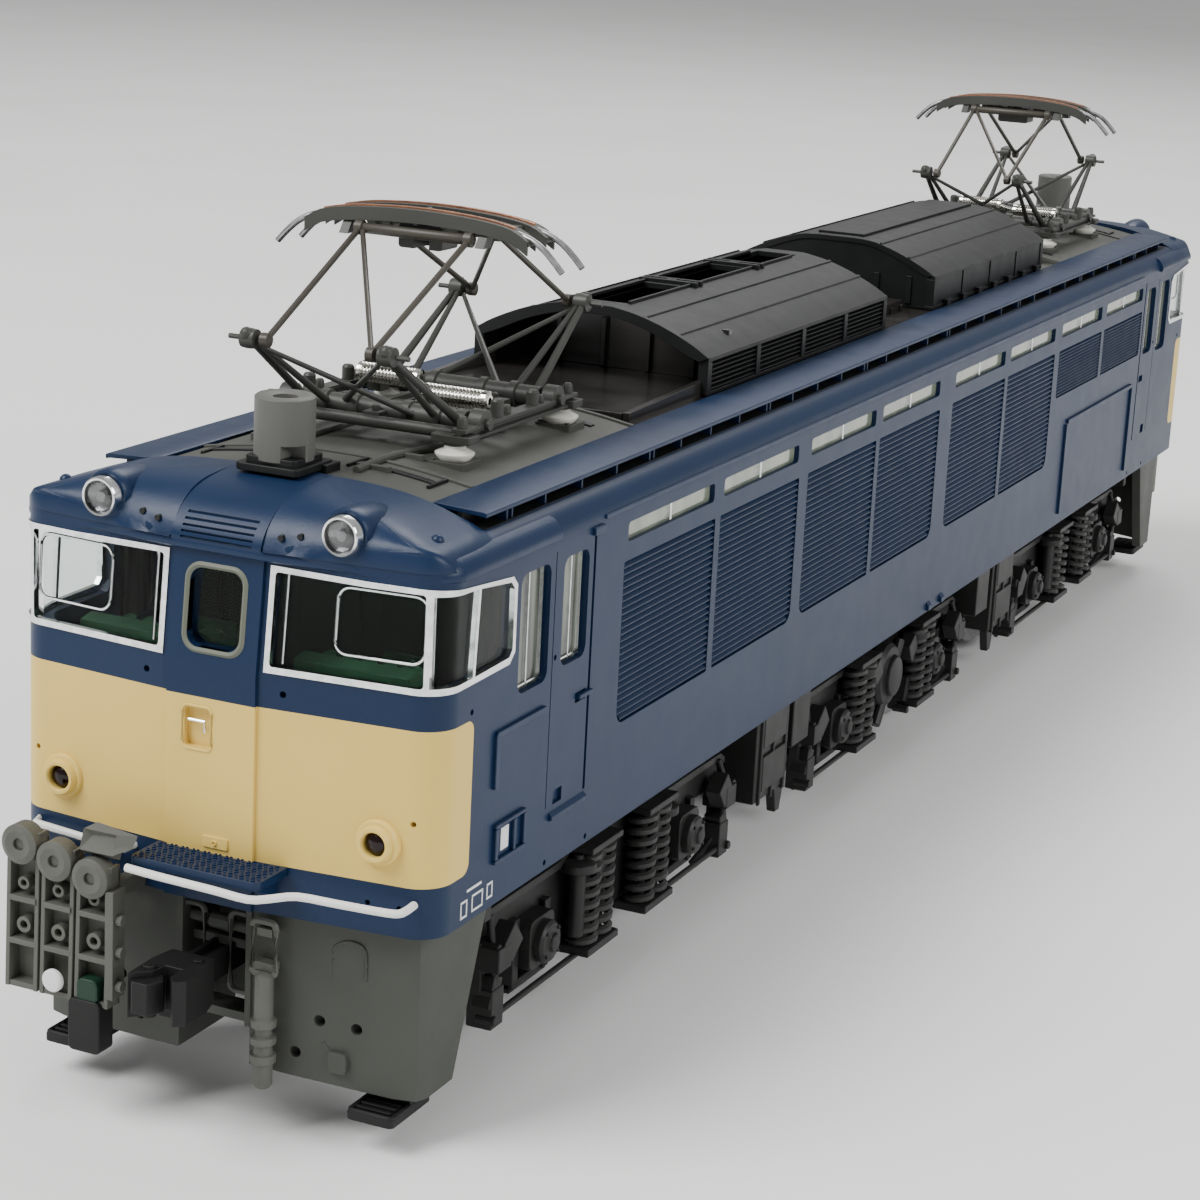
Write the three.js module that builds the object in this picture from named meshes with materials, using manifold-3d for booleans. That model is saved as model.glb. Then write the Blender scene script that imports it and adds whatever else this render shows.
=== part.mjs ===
// Model electric locomotive with three two-axle bogies, 1:80 scale on 16.5 mm gauge track.
// Millimetres. +Z up, +Y towards the far cab, +X to the right-hand side of the near cab seen from behind.
// Origin: on the ground plane under the middle of the body, where the wheel flanges rest.
import * as THREE from 'three';
import { mergeVertices } from 'three/addons/utils/BufferGeometryUtils.js';
import Module from 'manifold-3d';

const wasm = await Module();
wasm.setup();

// ---------------------------------------------------------------- driving dimensions
const BODY_LENGTH = 213;
const BODY_WIDTH = 35;
const BODY_BOTTOM = 16.5; // lower edge of the body side above the flange bottoms
const WALL = 1.2;
const GAP = 0.3; // running and assembly clearance between separate pieces
const END = BODY_LENGTH / 2;
const SIDE = BODY_WIDTH / 2;

const BELT = BODY_BOTTOM + 17.3; // below the cab windows
const WINDOW_LOW = BODY_BOTTOM + 17.8;
const WINDOW_HIGH = BODY_BOTTOM + 25.1;
const COVE = BODY_BOTTOM + 25.4; // where the side starts to round into the roof
const DECK = BODY_BOTTOM + 27.6; // flat roof deck between the two cab brows
const ROOF_EDGE = BODY_BOTTOM + 28.8; // grey roof panel at its outer edge
const ROOF_CROWN = BODY_BOTTOM + 29.9;
const CAB_LENGTH = 9.5; // brow, from the front face to the roof deck
const FRONT_SWEEP = 1.1; // how far the front is swept back at the corners
const FRONT_LEAN = 0.85; // how far the window band leans back
const DOOR_HALF = 3.65;

const BOGIE_PITCH = 66.5;
const WHEELBASE = 29;
const TREAD_RADIUS = 7;
const FLANGE_RADIUS = 7.9;
const AXLE_HEIGHT = FLANGE_RADIUS;
const BACK_TO_BACK = 14.4;
const WHEEL_WIDTH = 2.8;
const AXLE_RADIUS = 1;
const FRAME_INNER = 11; // inner face of a bogie side frame
const FRAME_OUTER = 13.4;

const PANTO_Y = 76.9; // pantograph centre from the middle of the body
const SHAFT_Y = 6.2; // main shafts from the pantograph's centre
const SHAFT_Z = BODY_BOTTOM + 32;
const KNUCKLE_Y = 16.2;
const KNUCKLE_Z = BODY_BOTTOM + 38.15;
const HEAD_Y = 2.3;
const HEAD_Z = BODY_BOTTOM + 45;
const HEAD_TOP = BODY_BOTTOM + 47;

const PIVOT_RADIUS = 2;
const BOLSTER_HALF = 3.4;
const BOLSTER_TRAVEL = 3; // sideways slide of the middle bogie
const SHAFT_LINE = 30; // height of the motor shaft
const MOTOR_RADIUS = 6;

// ---------------------------------------------------------------- colours
const finish = (color, roughness, metalness = 0) => new THREE.MeshStandardMaterial({ color, roughness, metalness });
const NAVY = finish(0x14305c, 0.4);
const ROOF_GREY = finish(0x7d7a6e, 0.7);
const BLACK = finish(0x191b1b, 0.7);
const SKIRT_GREY = finish(0x5b5f59, 0.65);
const GLASS = finish(0xa9c0ae, 0.15);
const SILVER = finish(0xd0d2d4, 0.25, 1);
const PANTO_GREY = finish(0x5f5f5a, 0.55, 0.3);
const CAB_GREEN = finish(0x2f5c41, 0.7);
const RED_LENS = finish(0x3a0a0a, 0.2);
const WHITE = finish(0xe8e8e4, 0.5);
const METAL = finish(0x8c8f93, 0.35, 1);
const DIECAST = finish(0x6e7074, 0.5, 0.8);
const BOARD = finish(0x1d5a34, 0.6);
const BRASS = finish(0xb5913f, 0.35, 1);

// ---------------------------------------------------------------- solids
function solid(geometry) {
  const bare = geometry.clone();
  bare.deleteAttribute('normal');
  bare.deleteAttribute('uv');
  const merged = mergeVertices(bare, 1e-4);
  return new wasm.Manifold(new wasm.Mesh({
    numProp: 3,
    vertProperties: new Float32Array(merged.attributes.position.array),
    triVerts: new Uint32Array(merged.index.array),
  }));
}

function join(pieces) {
  return pieces.reduce((whole, piece) => whole.add(piece));
}

function cut(whole, pieces) {
  return pieces.reduce((rest, piece) => rest.subtract(piece), whole);
}

// A block from its lowest to its highest corner.
function block(low, high) {
  const [x, y, z] = low.map((value, axis) => high[axis] - value);
  const centre = low.map((value, axis) => (value + high[axis]) / 2);
  return solid(new THREE.BoxGeometry(x, y, z).translate(...centre));
}

// A rod with flat ends between two points.
function rod(from, to, radius, sides = 8, endRadius = radius) {
  const start = new THREE.Vector3(...from);
  const along = new THREE.Vector3(...to).sub(start);
  const length = along.length();
  const turn = new THREE.Quaternion().setFromUnitVectors(new THREE.Vector3(0, 1, 0), along.normalize());
  const geometry = new THREE.CylinderGeometry(endRadius, radius, length, sides)
    .translate(0, length / 2, 0)
    .applyQuaternion(turn)
    .translate(...from);
  return solid(geometry);
}

// An outline in X and Y pulled up in Z.
function pulledUp(outline, low, high) {
  const shape = new THREE.Shape(outline.map(([x, y]) => new THREE.Vector2(x, y)));
  const geometry = new THREE.ExtrudeGeometry(shape, { depth: high - low, bevelEnabled: false });
  return solid(geometry.translate(0, 0, low));
}

// An outline in X and Z pulled along Y.
function pulledAlong(outline, low, high) {
  const shape = new THREE.Shape(outline.map(([x, z]) => new THREE.Vector2(x, z)));
  const geometry = new THREE.ExtrudeGeometry(shape, { depth: high - low, bevelEnabled: false });
  return solid(geometry.rotateX(Math.PI / 2).translate(0, high, 0));
}

// An outline in Y and Z pulled across X.
function pulledAcross(outline, low, high) {
  const shape = new THREE.Shape(outline.map(([y, z]) => new THREE.Vector2(y, z)));
  const geometry = new THREE.ExtrudeGeometry(shape, { depth: high - low, bevelEnabled: false });
  const turn = new THREE.Matrix4().set(0, 0, 1, low, 1, 0, 0, 0, 0, 1, 0, 0, 0, 0, 0, 1);
  return solid(geometry.applyMatrix4(turn));
}

// A tube of round section along a smooth path.
function bentRod(points, radius, sides = 8, steps = 24) {
  const path = new THREE.CatmullRomCurve3(points.map((point) => new THREE.Vector3(...point)), false, 'centripetal');
  const section = new THREE.Shape().absarc(0, 0, radius, 0, 2 * Math.PI);
  return solid(new THREE.ExtrudeGeometry(section, { extrudePath: path, steps, curveSegments: sides / 2 }));
}

// Mirror a list of outline points left to right, so that the outline closes on itself.
const mirrored = (half) => [...half, ...half.map(([a, b]) => [-a, b]).reverse()];

const model = new THREE.Group();
const farEnd = new THREE.Group();
farEnd.rotation.z = Math.PI;
model.add(farEnd);

function place(name, whole, material, group = model) {
  const mesh = whole.getMesh();
  const geometry = new THREE.BufferGeometry();
  geometry.setAttribute('position', new THREE.BufferAttribute(mesh.vertProperties, 3));
  geometry.setIndex(new THREE.BufferAttribute(mesh.triVerts, 1));
  geometry.computeVertexNormals();
  const part = new THREE.Mesh(geometry, material);
  part.name = name;
  group.add(part);
}

// A piece that both ends of the locomotive have.
function placeAtBothEnds(name, whole, material) {
  place(name.replace('END', 'near'), whole, material, model);
  place(name.replace('END', 'far'), whole, material, farEnd);
}

// ---------------------------------------------------------------- body shell
// The outside of the body, moved inwards by the given inset.
function bodyForm(inset, low) {
  const side = SIDE - inset;
  const end = END - inset;
  const plan = mirrored([
    [DOOR_HALF, -end],
    [side - 1.6, -end + FRONT_SWEEP],
    [side - 0.5, -end + FRONT_SWEEP + 0.5],
    [side, -end + FRONT_SWEEP + 1.6],
    [side, end - FRONT_SWEEP - 1.6],
    [side - 0.5, end - FRONT_SWEEP - 0.5],
    [side - 1.6, end - FRONT_SWEEP],
    [DOOR_HALF, end],
  ]);
  const top = ROOF_CROWN + 0.1 - inset;
  const section = mirrored([
    [side, low],
    [side, COVE - inset / 2],
    [side - 0.25, COVE + 0.9 - inset / 2],
    [side - 0.9, COVE + 1.7 - inset],
    [side - 1.9, COVE + 2.2 - inset],
    [side - 6, ROOF_EDGE + 0.1 - inset],
    [side - 11.5, top - 0.3],
    [3, top],
  ]);
  const lip = BODY_BOTTOM + 26;
  const halfProfile = [
    [end, low],
    [end, BELT],
    [end - FRONT_LEAN, lip - 0.4 - inset],
    [end - FRONT_LEAN + 0.4, lip - inset],
    [end - FRONT_LEAN + 0.3, lip + 0.8 - inset],
    [end - 1.5, lip + 2.2 - inset],
    [end - 3, lip + 3.1 - inset],
    [end - 5.5, top - 0.35],
    [end - 9, top],
  ];
  return pulledUp(plan, low, ROOF_CROWN + 5)
    .intersect(pulledAlong(section, -END - 1, END + 1))
    .intersect(pulledAcross(mirrored(halfProfile), -SIDE - 1, SIDE + 1));
}

const bodyOutside = bodyForm(0, BODY_BOTTOM);
const bodyInside = bodyForm(WALL, BODY_BOTTOM - 1).subtract(block(
  [-SIDE, -END + CAB_LENGTH - WALL, DECK - WALL],
  [SIDE, END - CAB_LENGTH + WALL, DECK + 5],
));

const PANEL_CENTRES = [39.4, 58.5, 78.7, 97.7, 119.8, 138.9, 158.8, 178];
const PANEL_HALF = 9;
const LOUVRE_LOW = BODY_BOTTOM + 8.2;
const LOUVRE_HIGH = BODY_BOTTOM + 21.3;
const CLERESTORY_LOW = BODY_BOTTOM + 22.8;
const CLERESTORY_HIGH = BODY_BOTTOM + 24.3;
const CLERESTORY_HALF = 6.6;

// The right-hand side as it is seen from the near end; the left-hand side is the same turned half round.
function sideCuts() {
  const pieces = [];
  PANEL_CENTRES.forEach((centre, index) => {
    const y = centre - END;
    const low = index > 5 ? BODY_BOTTOM + 15.8 : LOUVRE_LOW;
    pieces.push(block([SIDE - 0.35, y - PANEL_HALF, low], [SIDE + 1, y + PANEL_HALF, LOUVRE_HIGH]));
    pieces.push(block(
      [SIDE - 3, y - CLERESTORY_HALF, CLERESTORY_LOW],
      [SIDE + 1, y + CLERESTORY_HALF, CLERESTORY_HIGH],
    ));
  });
  return pieces;
}

const CAB_SIDE_WINDOWS = [[12.3, 17.4], [19.4, 23.9]]; // fixed side window and cab door window, from the front
const CAB_SIDE_WINDOW_LOW = BODY_BOTTOM + 15.4;
const CAB_SIDE_WINDOW_HIGH = BODY_BOTTOM + 23.8;
const WRAP_END = 11.5; // how far the front glazing runs back along the side
const WRAP_INNER = 4.4; // its inner edge beside the front door

// Window openings of one cab, grown or shrunk by the margin.
function cabOpenings(margin, depth) {
  const low = WINDOW_LOW - margin;
  const high = WINDOW_HIGH + margin;
  const pieces = [];
  for (const hand of [-1, 1]) {
    const across = [hand * (WRAP_INNER - margin), hand * (SIDE + 1)].sort((a, b) => a - b);
    const inner = hand * (SIDE - depth);
    const beside = [inner, hand * (SIDE + 1)].sort((a, b) => a - b);
    pieces.push(block([across[0], -END - 1, low], [across[1], -END + depth + FRONT_SWEEP, high]));
    pieces.push(block([beside[0], -END + 1, low], [beside[1], -END + WRAP_END + margin, high - 1]));
    for (const [from, to] of CAB_SIDE_WINDOWS) {
      pieces.push(block(
        [beside[0], -END + from - margin, CAB_SIDE_WINDOW_LOW - margin],
        [beside[1], -END + to + margin, CAB_SIDE_WINDOW_HIGH + margin],
      ));
    }
  }
  pieces.push(block(
    [-1.9 - margin, -END - 1, BODY_BOTTOM + 19 - margin],
    [1.9 + margin, -END + depth, BODY_BOTTOM + 24 + margin],
  ));
  return pieces;
}

const HEADLIGHT = { x: 9.75, z: BODY_BOTTOM + 28.14, radius: 1.4 };
const TAIL_LAMP = { x: 13.1, z: BODY_BOTTOM + 6.75, radius: 1.35 };

function lampHoles(lamp, radius) {
  return [-1, 1].map((hand) => rod([hand * lamp.x, -END - 2, lamp.z], [hand * lamp.x, -END + 6, lamp.z], radius, 16));
}

const endCuts = [
  ...cabOpenings(0, 3),
  ...lampHoles(HEADLIGHT, HEADLIGHT.radius + GAP),
  ...lampHoles(TAIL_LAMP, 0.9 + GAP),
];
const turned = (piece) => piece.rotate([0, 0, 180]);

// Door panel and tread plate that stand proud of one end.
function endRelief() {
  return [
    block([-DOOR_HALF, -END - 0.25, BODY_BOTTOM], [DOOR_HALF, -END + 0.5, BELT - 0.2]),
    block([-4.4, -END - 3.4, BODY_BOTTOM + 3.1], [6.2, -END + 0.5, BODY_BOTTOM + 3.9]),
  ];
}

// Ribs and frames on the right-hand side.
function sideRelief() {
  const bar = (from, to, low, high) => block([SIDE - 0.5, from - END, low], [SIDE + 0.35, to - END, high]);
  const B = BODY_BOTTOM;
  return [
    bar(9.2, 9.8, B + 9.1, B + 13.4),
    bar(9.2, 17.5, B + 12.8, B + 13.4),
    bar(9.6, 14.6, B + 3.1, B + 6.2),
    bar(24.6, 25.1, B + 4.2, B + 25.2),
    bar(18.8, 25.1, B + 3.9, B + 4.4),
    bar(154.8, 155.6, B + 1.2, B + 12.6),
    bar(184.4, 185.2, B + 1.2, B + 12.6),
    bar(154.8, 185.2, B + 12, B + 12.6),
  ];
}

function bodyShell() {
  const deckCut = block(
    [-SIDE + 1.6, -END + CAB_LENGTH, DECK],
    [SIDE - 1.6, END - CAB_LENGTH, DECK + 6],
  );
  const shell = join([bodyOutside, ...endRelief(), ...endRelief().map(turned)]);
  const open = cut(shell, [bodyInside, deckCut, ...endCuts, ...endCuts.map(turned)]);
  const sides = cut(open, [...sideCuts(), ...sideCuts().map(turned)]);
  return join([sides, ...sideRelief(), ...sideRelief().map(turned)]);
}
place('body_shell', bodyShell(), NAVY);

// ---------------------------------------------------------------- glazing and cab interiors
// One moulding per cab: an inner skin with the panes standing out into their openings.
function cabGlazing() {
  const skin = bodyForm(WALL + GAP, BODY_BOTTOM + 10).subtract(bodyForm(WALL + GAP + 0.7, BODY_BOTTOM + 9));
  const band = block([-SIDE, -END, WINDOW_LOW - 3.2], [SIDE, -END + 25.2, WINDOW_HIGH + 0.5]);
  const panes = bodyForm(0.1, BODY_BOTTOM + 10)
    .subtract(bodyForm(WALL + 0.9, BODY_BOTTOM + 9))
    .intersect(join(cabOpenings(-GAP, WALL + 0.9)));
  return skin.intersect(band).add(panes.intersect(band));
}
placeAtBothEnds('cab_glazing_END', cabGlazing(), GLASS);

function sideGlazing() {
  const inner = SIDE - WALL - GAP;
  const strip = block([inner - 0.7, -END + 30, CLERESTORY_LOW - 0.7], [inner, END - 26, CLERESTORY_HIGH + 0.5]);
  const lugs = PANEL_CENTRES.map((centre) => block(
    [inner - 0.4, centre - END - CLERESTORY_HALF + GAP, CLERESTORY_LOW + GAP],
    [SIDE - 0.3, centre - END + CLERESTORY_HALF - GAP, CLERESTORY_HIGH - GAP],
  ));
  return join([strip, ...lugs]);
}
place('side_glazing_right', sideGlazing(), GLASS);
place('side_glazing_left', sideGlazing(), GLASS, farEnd);

const CHASSIS_TOP = 27;
function cabInterior() {
  const y = -END;
  const floor = BODY_BOTTOM + 7;
  return join([
    block([-14.5, y + 3.6, floor - 1], [14.5, y + 17, floor]),
    block([-13.5, y + 3.6, floor - 0.5], [13.5, y + 6.5, BELT - 0.6]),
    block([-14.2, y + 16, floor - 0.5], [14.2, y + 17, BODY_BOTTOM + 24.4]),
    ...[-8, 8].map((x) => block([x - 2.2, y + 10, floor - 0.5], [x + 2.2, y + 13.5, floor + 4])),
    ...[-8, 8].map((x) => block([x - 2.2, y + 12.7, floor - 0.5], [x + 2.2, y + 13.5, floor + 9])),
  ]);
}
placeAtBothEnds('cab_interior_END', cabInterior(), CAB_GREEN);

// ---------------------------------------------------------------- lamps
// Both lenses of one end on the light guide that joins them inside the shell.
function lampUnit(lamp, radius, front, back, guideLow, guideHigh) {
  const lenses = [-1, 1].map((hand) => rod([hand * lamp.x, front, lamp.z], [hand * lamp.x, back, lamp.z], radius, 12));
  const guide = block([-lamp.x, back - 1, lamp.z - guideLow], [lamp.x, back, lamp.z + guideHigh]);
  return join([...lenses, guide]);
}
const headlights = join([
  lampUnit(HEADLIGHT, 1.1, -END + 1.5, -END + 5, 2.6, -0.8),
  ...[-1, 1].map((hand) => rod(
    [hand * HEADLIGHT.x, -END + 0.7, HEADLIGHT.z],
    [hand * HEADLIGHT.x, -END + 4.6, HEADLIGHT.z],
    HEADLIGHT.radius,
    16,
  )),
]);
placeAtBothEnds('headlight_unit_END', headlights.subtract(
  join(lampHoles(HEADLIGHT, 1.05)).intersect(block([-SIDE, -END - 2, 0], [SIDE, -END + 1.1, 80])),
), SILVER);
placeAtBothEnds('tail_lamp_unit_END', lampUnit(TAIL_LAMP, 0.9, -END + 0.1, -END + 3.2, 0.4, 0.4), RED_LENS);

// ---------------------------------------------------------------- roof
// A crowned roof plate that lies on the deck.
function roofPlate(from, to, low, half = 11.3) {
  const outline = mirrored([[half, low], [half, ROOF_EDGE], [half / 2, ROOF_CROWN - 0.3], [2.5, ROOF_CROWN]]);
  return pulledAlong(outline, from, to);
}
const ROOF_REST = DECK + GAP;
const PANEL_FROM = -END + CAB_LENGTH + GAP;
const PANEL_TO = -END + 44.9;
placeAtBothEnds('roof_panel_END', roofPlate(PANEL_FROM, PANEL_TO, ROOF_REST), ROOF_GREY);

// Long flat strip on posts beside the roof.
function walkway() {
  const top = BODY_BOTTOM + 29;
  const reach = END - 9.9;
  const posts = Array.from({ length: 15 }, (_, index) => {
    const y = (index - 7) * 13.6;
    return block([13.2, y - 0.4, ROOF_REST], [14.8, y + 0.4, top - 0.5]);
  });
  return join([block([11.7, -reach, top - 0.8], [15.6, reach, top]), ...posts]);
}
place('roof_walkway_right', walkway(), NAVY);
place('roof_walkway_left', walkway(), NAVY, farEnd);

const VENTS = {
  large: { from: 60 - END, to: 106 - END, eave: BODY_BOTTOM + 32.2, crown: BODY_BOTTOM + 35.7 },
  small: { from: 121 - END, to: 161 - END, eave: BODY_BOTTOM + 32.4, crown: BODY_BOTTOM + 35.7 },
};
const TROUGH_TOP = ROOF_EDGE - 0.2;

// Arched cover, hollow below; its near end can be open.
function ventCover({ from, to, eave, crown }, nearEndOpen) {
  const half = 11.3;
  const arch = (shrink) => mirrored([
    [half - shrink, TROUGH_TOP + GAP - shrink],
    [half - shrink, eave - shrink / 2],
    [half - 2.6, eave + (crown - eave) * 0.38 - shrink],
    [5.2, eave + (crown - eave) * 0.8 - shrink],
    [2, crown - 0.1 - shrink],
  ]);
  const inner = pulledAlong(arch(0.9), nearEndOpen ? from - 1 : from + 0.9, to - 0.9);
  return pulledAlong(arch(0), from, to).subtract(inner);
}
const slots = [];
for (const y of [64, 71, 78, 85, 92]) {
  slots.push(block([-1.7, y - END, BODY_BOTTOM + 33], [1.7, y - END + 5.6, BODY_BOTTOM + 38]));
}
place('vent_cover_large', cut(ventCover(VENTS.large, true), slots), BLACK);
place('vent_cover_small', ventCover(VENTS.small, false), BLACK);

// Black plate under the covers, with the sloping floor that leads into the large one.
function ventTrough() {
  const from = -END + 44.9 + GAP;
  const to = END - 44.9 - GAP;
  const plate = block([-11.3, from, ROOF_REST], [11.3, to, TROUGH_TOP]);
  const ramp = pulledAcross([
    [from, TROUGH_TOP - 0.4],
    [VENTS.large.from + 6, TROUGH_TOP - 0.4],
    [VENTS.large.from + 6, TROUGH_TOP - 0.3],
    [from, ROOF_EDGE + 0.6],
  ], -9.8, 9.8);
  const dividers = [80, 100].map((y) => block(
    [-8, y - END, TROUGH_TOP - 0.3],
    [8, y - END + 0.8, TROUGH_TOP + 2.4],
  ));
  return join([plate, ramp, ...dividers]);
}
place('vent_trough', ventTrough(), BLACK);

function whistle() {
  const y = -END + 9;
  const base = ROOF_CROWN + 0.1 + GAP;
  return join([
    block([-2.5, y - 2.6, base], [2.5, y + 2.6, base + 1.1]),
    rod([0, y, base + 1], [0, y, base + 5.6], 2.15, 20),
  ]);
}
placeAtBothEnds('whistle_END', whistle(), ROOF_GREY);

// ---------------------------------------------------------------- pantographs
const mirrorPair = (build) => [-1, 1].flatMap((hand) => build(hand));

const BEAM_X = 8.2; // side beams of the base frame
const FOOT = { x: 7.6, y: 8.9 }; // insulators

// Base frame: two side beams with bearing blocks, cross-members and four insulators with their feet.
function pantographBase() {
  const z = SHAFT_Z;
  const sideBeam = (hand) => {
    const low = hand * BEAM_X - 0.6;
    const high = hand * BEAM_X + 0.6;
    return [
      block([low, -9.4, z - 0.9], [high, 9.4, z + 0.1]),
      ...[-SHAFT_Y, SHAFT_Y].map((y) => block([low, y - 1, z - 0.9], [high, y + 1, z + 1])),
    ];
  };
  const foot = (x, y) => [
    rod([x, y, ROOF_EDGE + 0.75], [x, y, z - 0.6], 1.05, 6),
    rod([x, y, z - 2.1], [x, y, z - 1.3], 1.5, 8),
    block([x - 1.5, y - 0.8, z - 1], [x + 1.5, y + 0.8, z - 0.4]),
  ];
  const crossMember = (from, to) => block([-8.4, from, z - 0.9], [8.4, to, z - 0.3]);
  return join([
    ...mirrorPair((hand) => [...sideBeam(hand), ...foot(hand * FOOT.x, -FOOT.y), ...foot(hand * FOOT.x, FOOT.y)]),
    crossMember(-8.6, -7.9),
    crossMember(-0.5, 0.5),
    crossMember(7.9, 8.6),
    block([-0.6, -8.4, z - 1.5], [0.6, 8.4, z - 1]),
    ...[-8.2, 0, 8.2].map((y) => block([-0.5, y - 0.3, z - 1.2], [0.5, y + 0.3, z - 0.7])),
  ]);
}

// Two spring cylinders on the rod that joins them.
function mainSprings() {
  const z = SHAFT_Z + 1;
  return join([
    rod([1.6, -2.2, z], [6.9, -2.2, z], 0.85, 12),
    rod([-6.9, 2.2, z], [-1.6, 2.2, z], 0.85, 12),
    rod([1.9, -2.2, z], [-1.9, 2.2, z], 0.3, 6),
  ]);
}

// The lower arm on the side that looks towards the nearer cab: shaft, four bars and two knuckles.
function lowerArm() {
  const shaftRadius = 0.85;
  const knuckle = (hand) => [hand * 5.6, -KNUCKLE_Y, KNUCKLE_Z];
  return join([
    rod([-7.3, -SHAFT_Y, SHAFT_Z], [7.3, -SHAFT_Y, SHAFT_Z], shaftRadius, 8),
    ...mirrorPair((hand) => [
      rod([hand * 6.4, -SHAFT_Y, SHAFT_Z], knuckle(hand), 0.42, 6),
      rod([hand * 0.6, -SHAFT_Y, SHAFT_Z], knuckle(hand), 0.3, 6),
      rod([hand * 5.05, -KNUCKLE_Y, KNUCKLE_Z], [hand * 6.3, -KNUCKLE_Y, KNUCKLE_Z], 0.75, 8),
    ]),
  ]);
}

// The upper arm on the same side: two rods, a diagonal and the top tube.
function upperArm(hand) {
  const foot = (side) => [side * 4.4, -KNUCKLE_Y, KNUCKLE_Z];
  const head = (side) => [side * 4.7, -HEAD_Y, HEAD_Z];
  return join([
    rod([-5.1, -HEAD_Y, HEAD_Z], [5.1, -HEAD_Y, HEAD_Z], 0.4, 8),
    ...mirrorPair((side) => [
      rod(foot(side), head(side), 0.34, 6),
      rod([side * 4.05, -KNUCKLE_Y, KNUCKLE_Z], [side * 4.75, -KNUCKLE_Y, KNUCKLE_Z], 0.5, 8),
    ]),
    rod(foot(hand), head(-hand), 0.3, 6),
  ]);
}

// Collector head: two contact strips, end frames, four horns, brackets and the hanging box.
function collectorHead() {
  const strip = (y) => bentRod([
    [-12.2, y, HEAD_TOP - 3.5],
    [-10.2, y, HEAD_TOP - 1.4],
    [-7.6, y, HEAD_TOP - 0.55],
    [0, y, HEAD_TOP - 0.4],
    [7.6, y, HEAD_TOP - 0.55],
    [10.2, y, HEAD_TOP - 1.4],
    [12.2, y, HEAD_TOP - 3.5],
  ], 0.36, 6, 9);
  return join([
    strip(-1.6),
    strip(1.6),
    block([-7.4, -1.9, HEAD_TOP - 1.1], [7.4, -1.3, HEAD_TOP - 0.4]),
    block([-7.4, 1.3, HEAD_TOP - 1.1], [7.4, 1.9, HEAD_TOP - 0.4]),
    ...mirrorPair((hand) => [
      block([hand * 6 - 0.5, -2.7, HEAD_Z - 0.5], [hand * 6 + 0.5, 2.7, HEAD_Z + 0.5]),
      block([hand * 6 - 0.4, -1.8, HEAD_Z], [hand * 6 + 0.4, 1.8, HEAD_TOP - 0.6]),
    ]),
    block([-1.9, -1.3, HEAD_Z - 1.3], [1.9, 1.3, HEAD_TOP - 1.4]),
    block([-0.6, -1.6, HEAD_TOP - 1.6], [0.6, 1.6, HEAD_TOP - 0.9]),
  ]);
}

// The near and far pantographs look the same from their own cab.
const pantographGroups = [['near', -PANTO_Y, model], ['far', -PANTO_Y, farEnd]];
for (const [end, y, group] of pantographGroups) {
  const at = (piece) => piece.translate([0, y, 0]);
  const opposite = (piece) => at(piece.rotate([0, 0, 180]));
  place(`pantograph_${end}_base`, at(pantographBase()), PANTO_GREY, group);
  place(`pantograph_${end}_springs`, at(mainSprings()), SILVER, group);
  place(`pantograph_${end}_lower_arm_outer`, at(lowerArm()), PANTO_GREY, group);
  place(`pantograph_${end}_lower_arm_inner`, opposite(lowerArm()), PANTO_GREY, group);
  place(`pantograph_${end}_upper_arm_outer`, at(upperArm(1)), PANTO_GREY, group);
  place(`pantograph_${end}_upper_arm_inner`, opposite(upperArm(1)), PANTO_GREY, group);
  place(`pantograph_${end}_head`, at(collectorHead()), PANTO_GREY, group);
}

// ---------------------------------------------------------------- chassis and drive
const TOWER_HALF = 5.5;
const CHASSIS_LOW = BODY_BOTTOM + 1.4;
const FLOOR_TOP = CHASSIS_LOW + 3;

function chassisFrame() {
  const floorPlate = block([-15.2, -88, CHASSIS_LOW], [15.2, 88, FLOOR_TOP]);
  const weights = [-1, 1].map((way) => join([-1, 1].map((hand) => block(
    [hand > 0 ? 9 : -15, way > 0 ? 22 : -88, FLOOR_TOP - 0.5],
    [hand > 0 ? 15 : -9, way > 0 ? 88 : -22, CHASSIS_TOP],
  ))));
  const cradle = block([-9, -17, FLOOR_TOP - 0.5], [9, 17, SHAFT_LINE - MOTOR_RADIUS - GAP]);
  const openings = [-1, 1].map((way) => block(
    [-8.3, way * BOGIE_PITCH - 8.6, CHASSIS_LOW - 1],
    [8.3, way * BOGIE_PITCH + 8.6, FLOOR_TOP + 1],
  ));
  const slotX = 4.6 + BOLSTER_TRAVEL + GAP;
  const slotY = BOLSTER_HALF + GAP;
  const slot = block([-slotX, -slotY, CHASSIS_LOW - 1], [slotX, slotY, CHASSIS_LOW + 1.8]);
  return cut(join([floorPlate, ...weights, cradle]), [...openings, slot]);
}
place('chassis_frame', chassisFrame(), DIECAST);
place('circuit_board', join([
  block([-8, -50, SHAFT_LINE + 8.2], [8, 50, SHAFT_LINE + 9.2]),
  ...[-40, -28, 26, 38].map((y) => block([-3, y, SHAFT_LINE + 9], [3, y + 5, SHAFT_LINE + 10.6])),
]), BOARD);

function motorCase() {
  const can = rod([0, -14, SHAFT_LINE], [0, 14, SHAFT_LINE], MOTOR_RADIUS, 16);
  const flats = block([-7, -20, SHAFT_LINE - MOTOR_RADIUS + 0.3], [7, 20, SHAFT_LINE + MOTOR_RADIUS - 0.3]);
  const bore = rod([0, -20, SHAFT_LINE], [0, 20, SHAFT_LINE], 1, 12);
  return can.intersect(flats).subtract(bore);
}
place('motor', motorCase(), METAL);
place('motor_shaft', join([
  rod([0, -24, SHAFT_LINE], [0, 24, SHAFT_LINE], 0.7, 10),
  ...[-1, 1].map((way) => rod([0, way * 14.8, SHAFT_LINE], [0, way * 23, SHAFT_LINE], 5, 20)),
]), BRASS);

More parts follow.
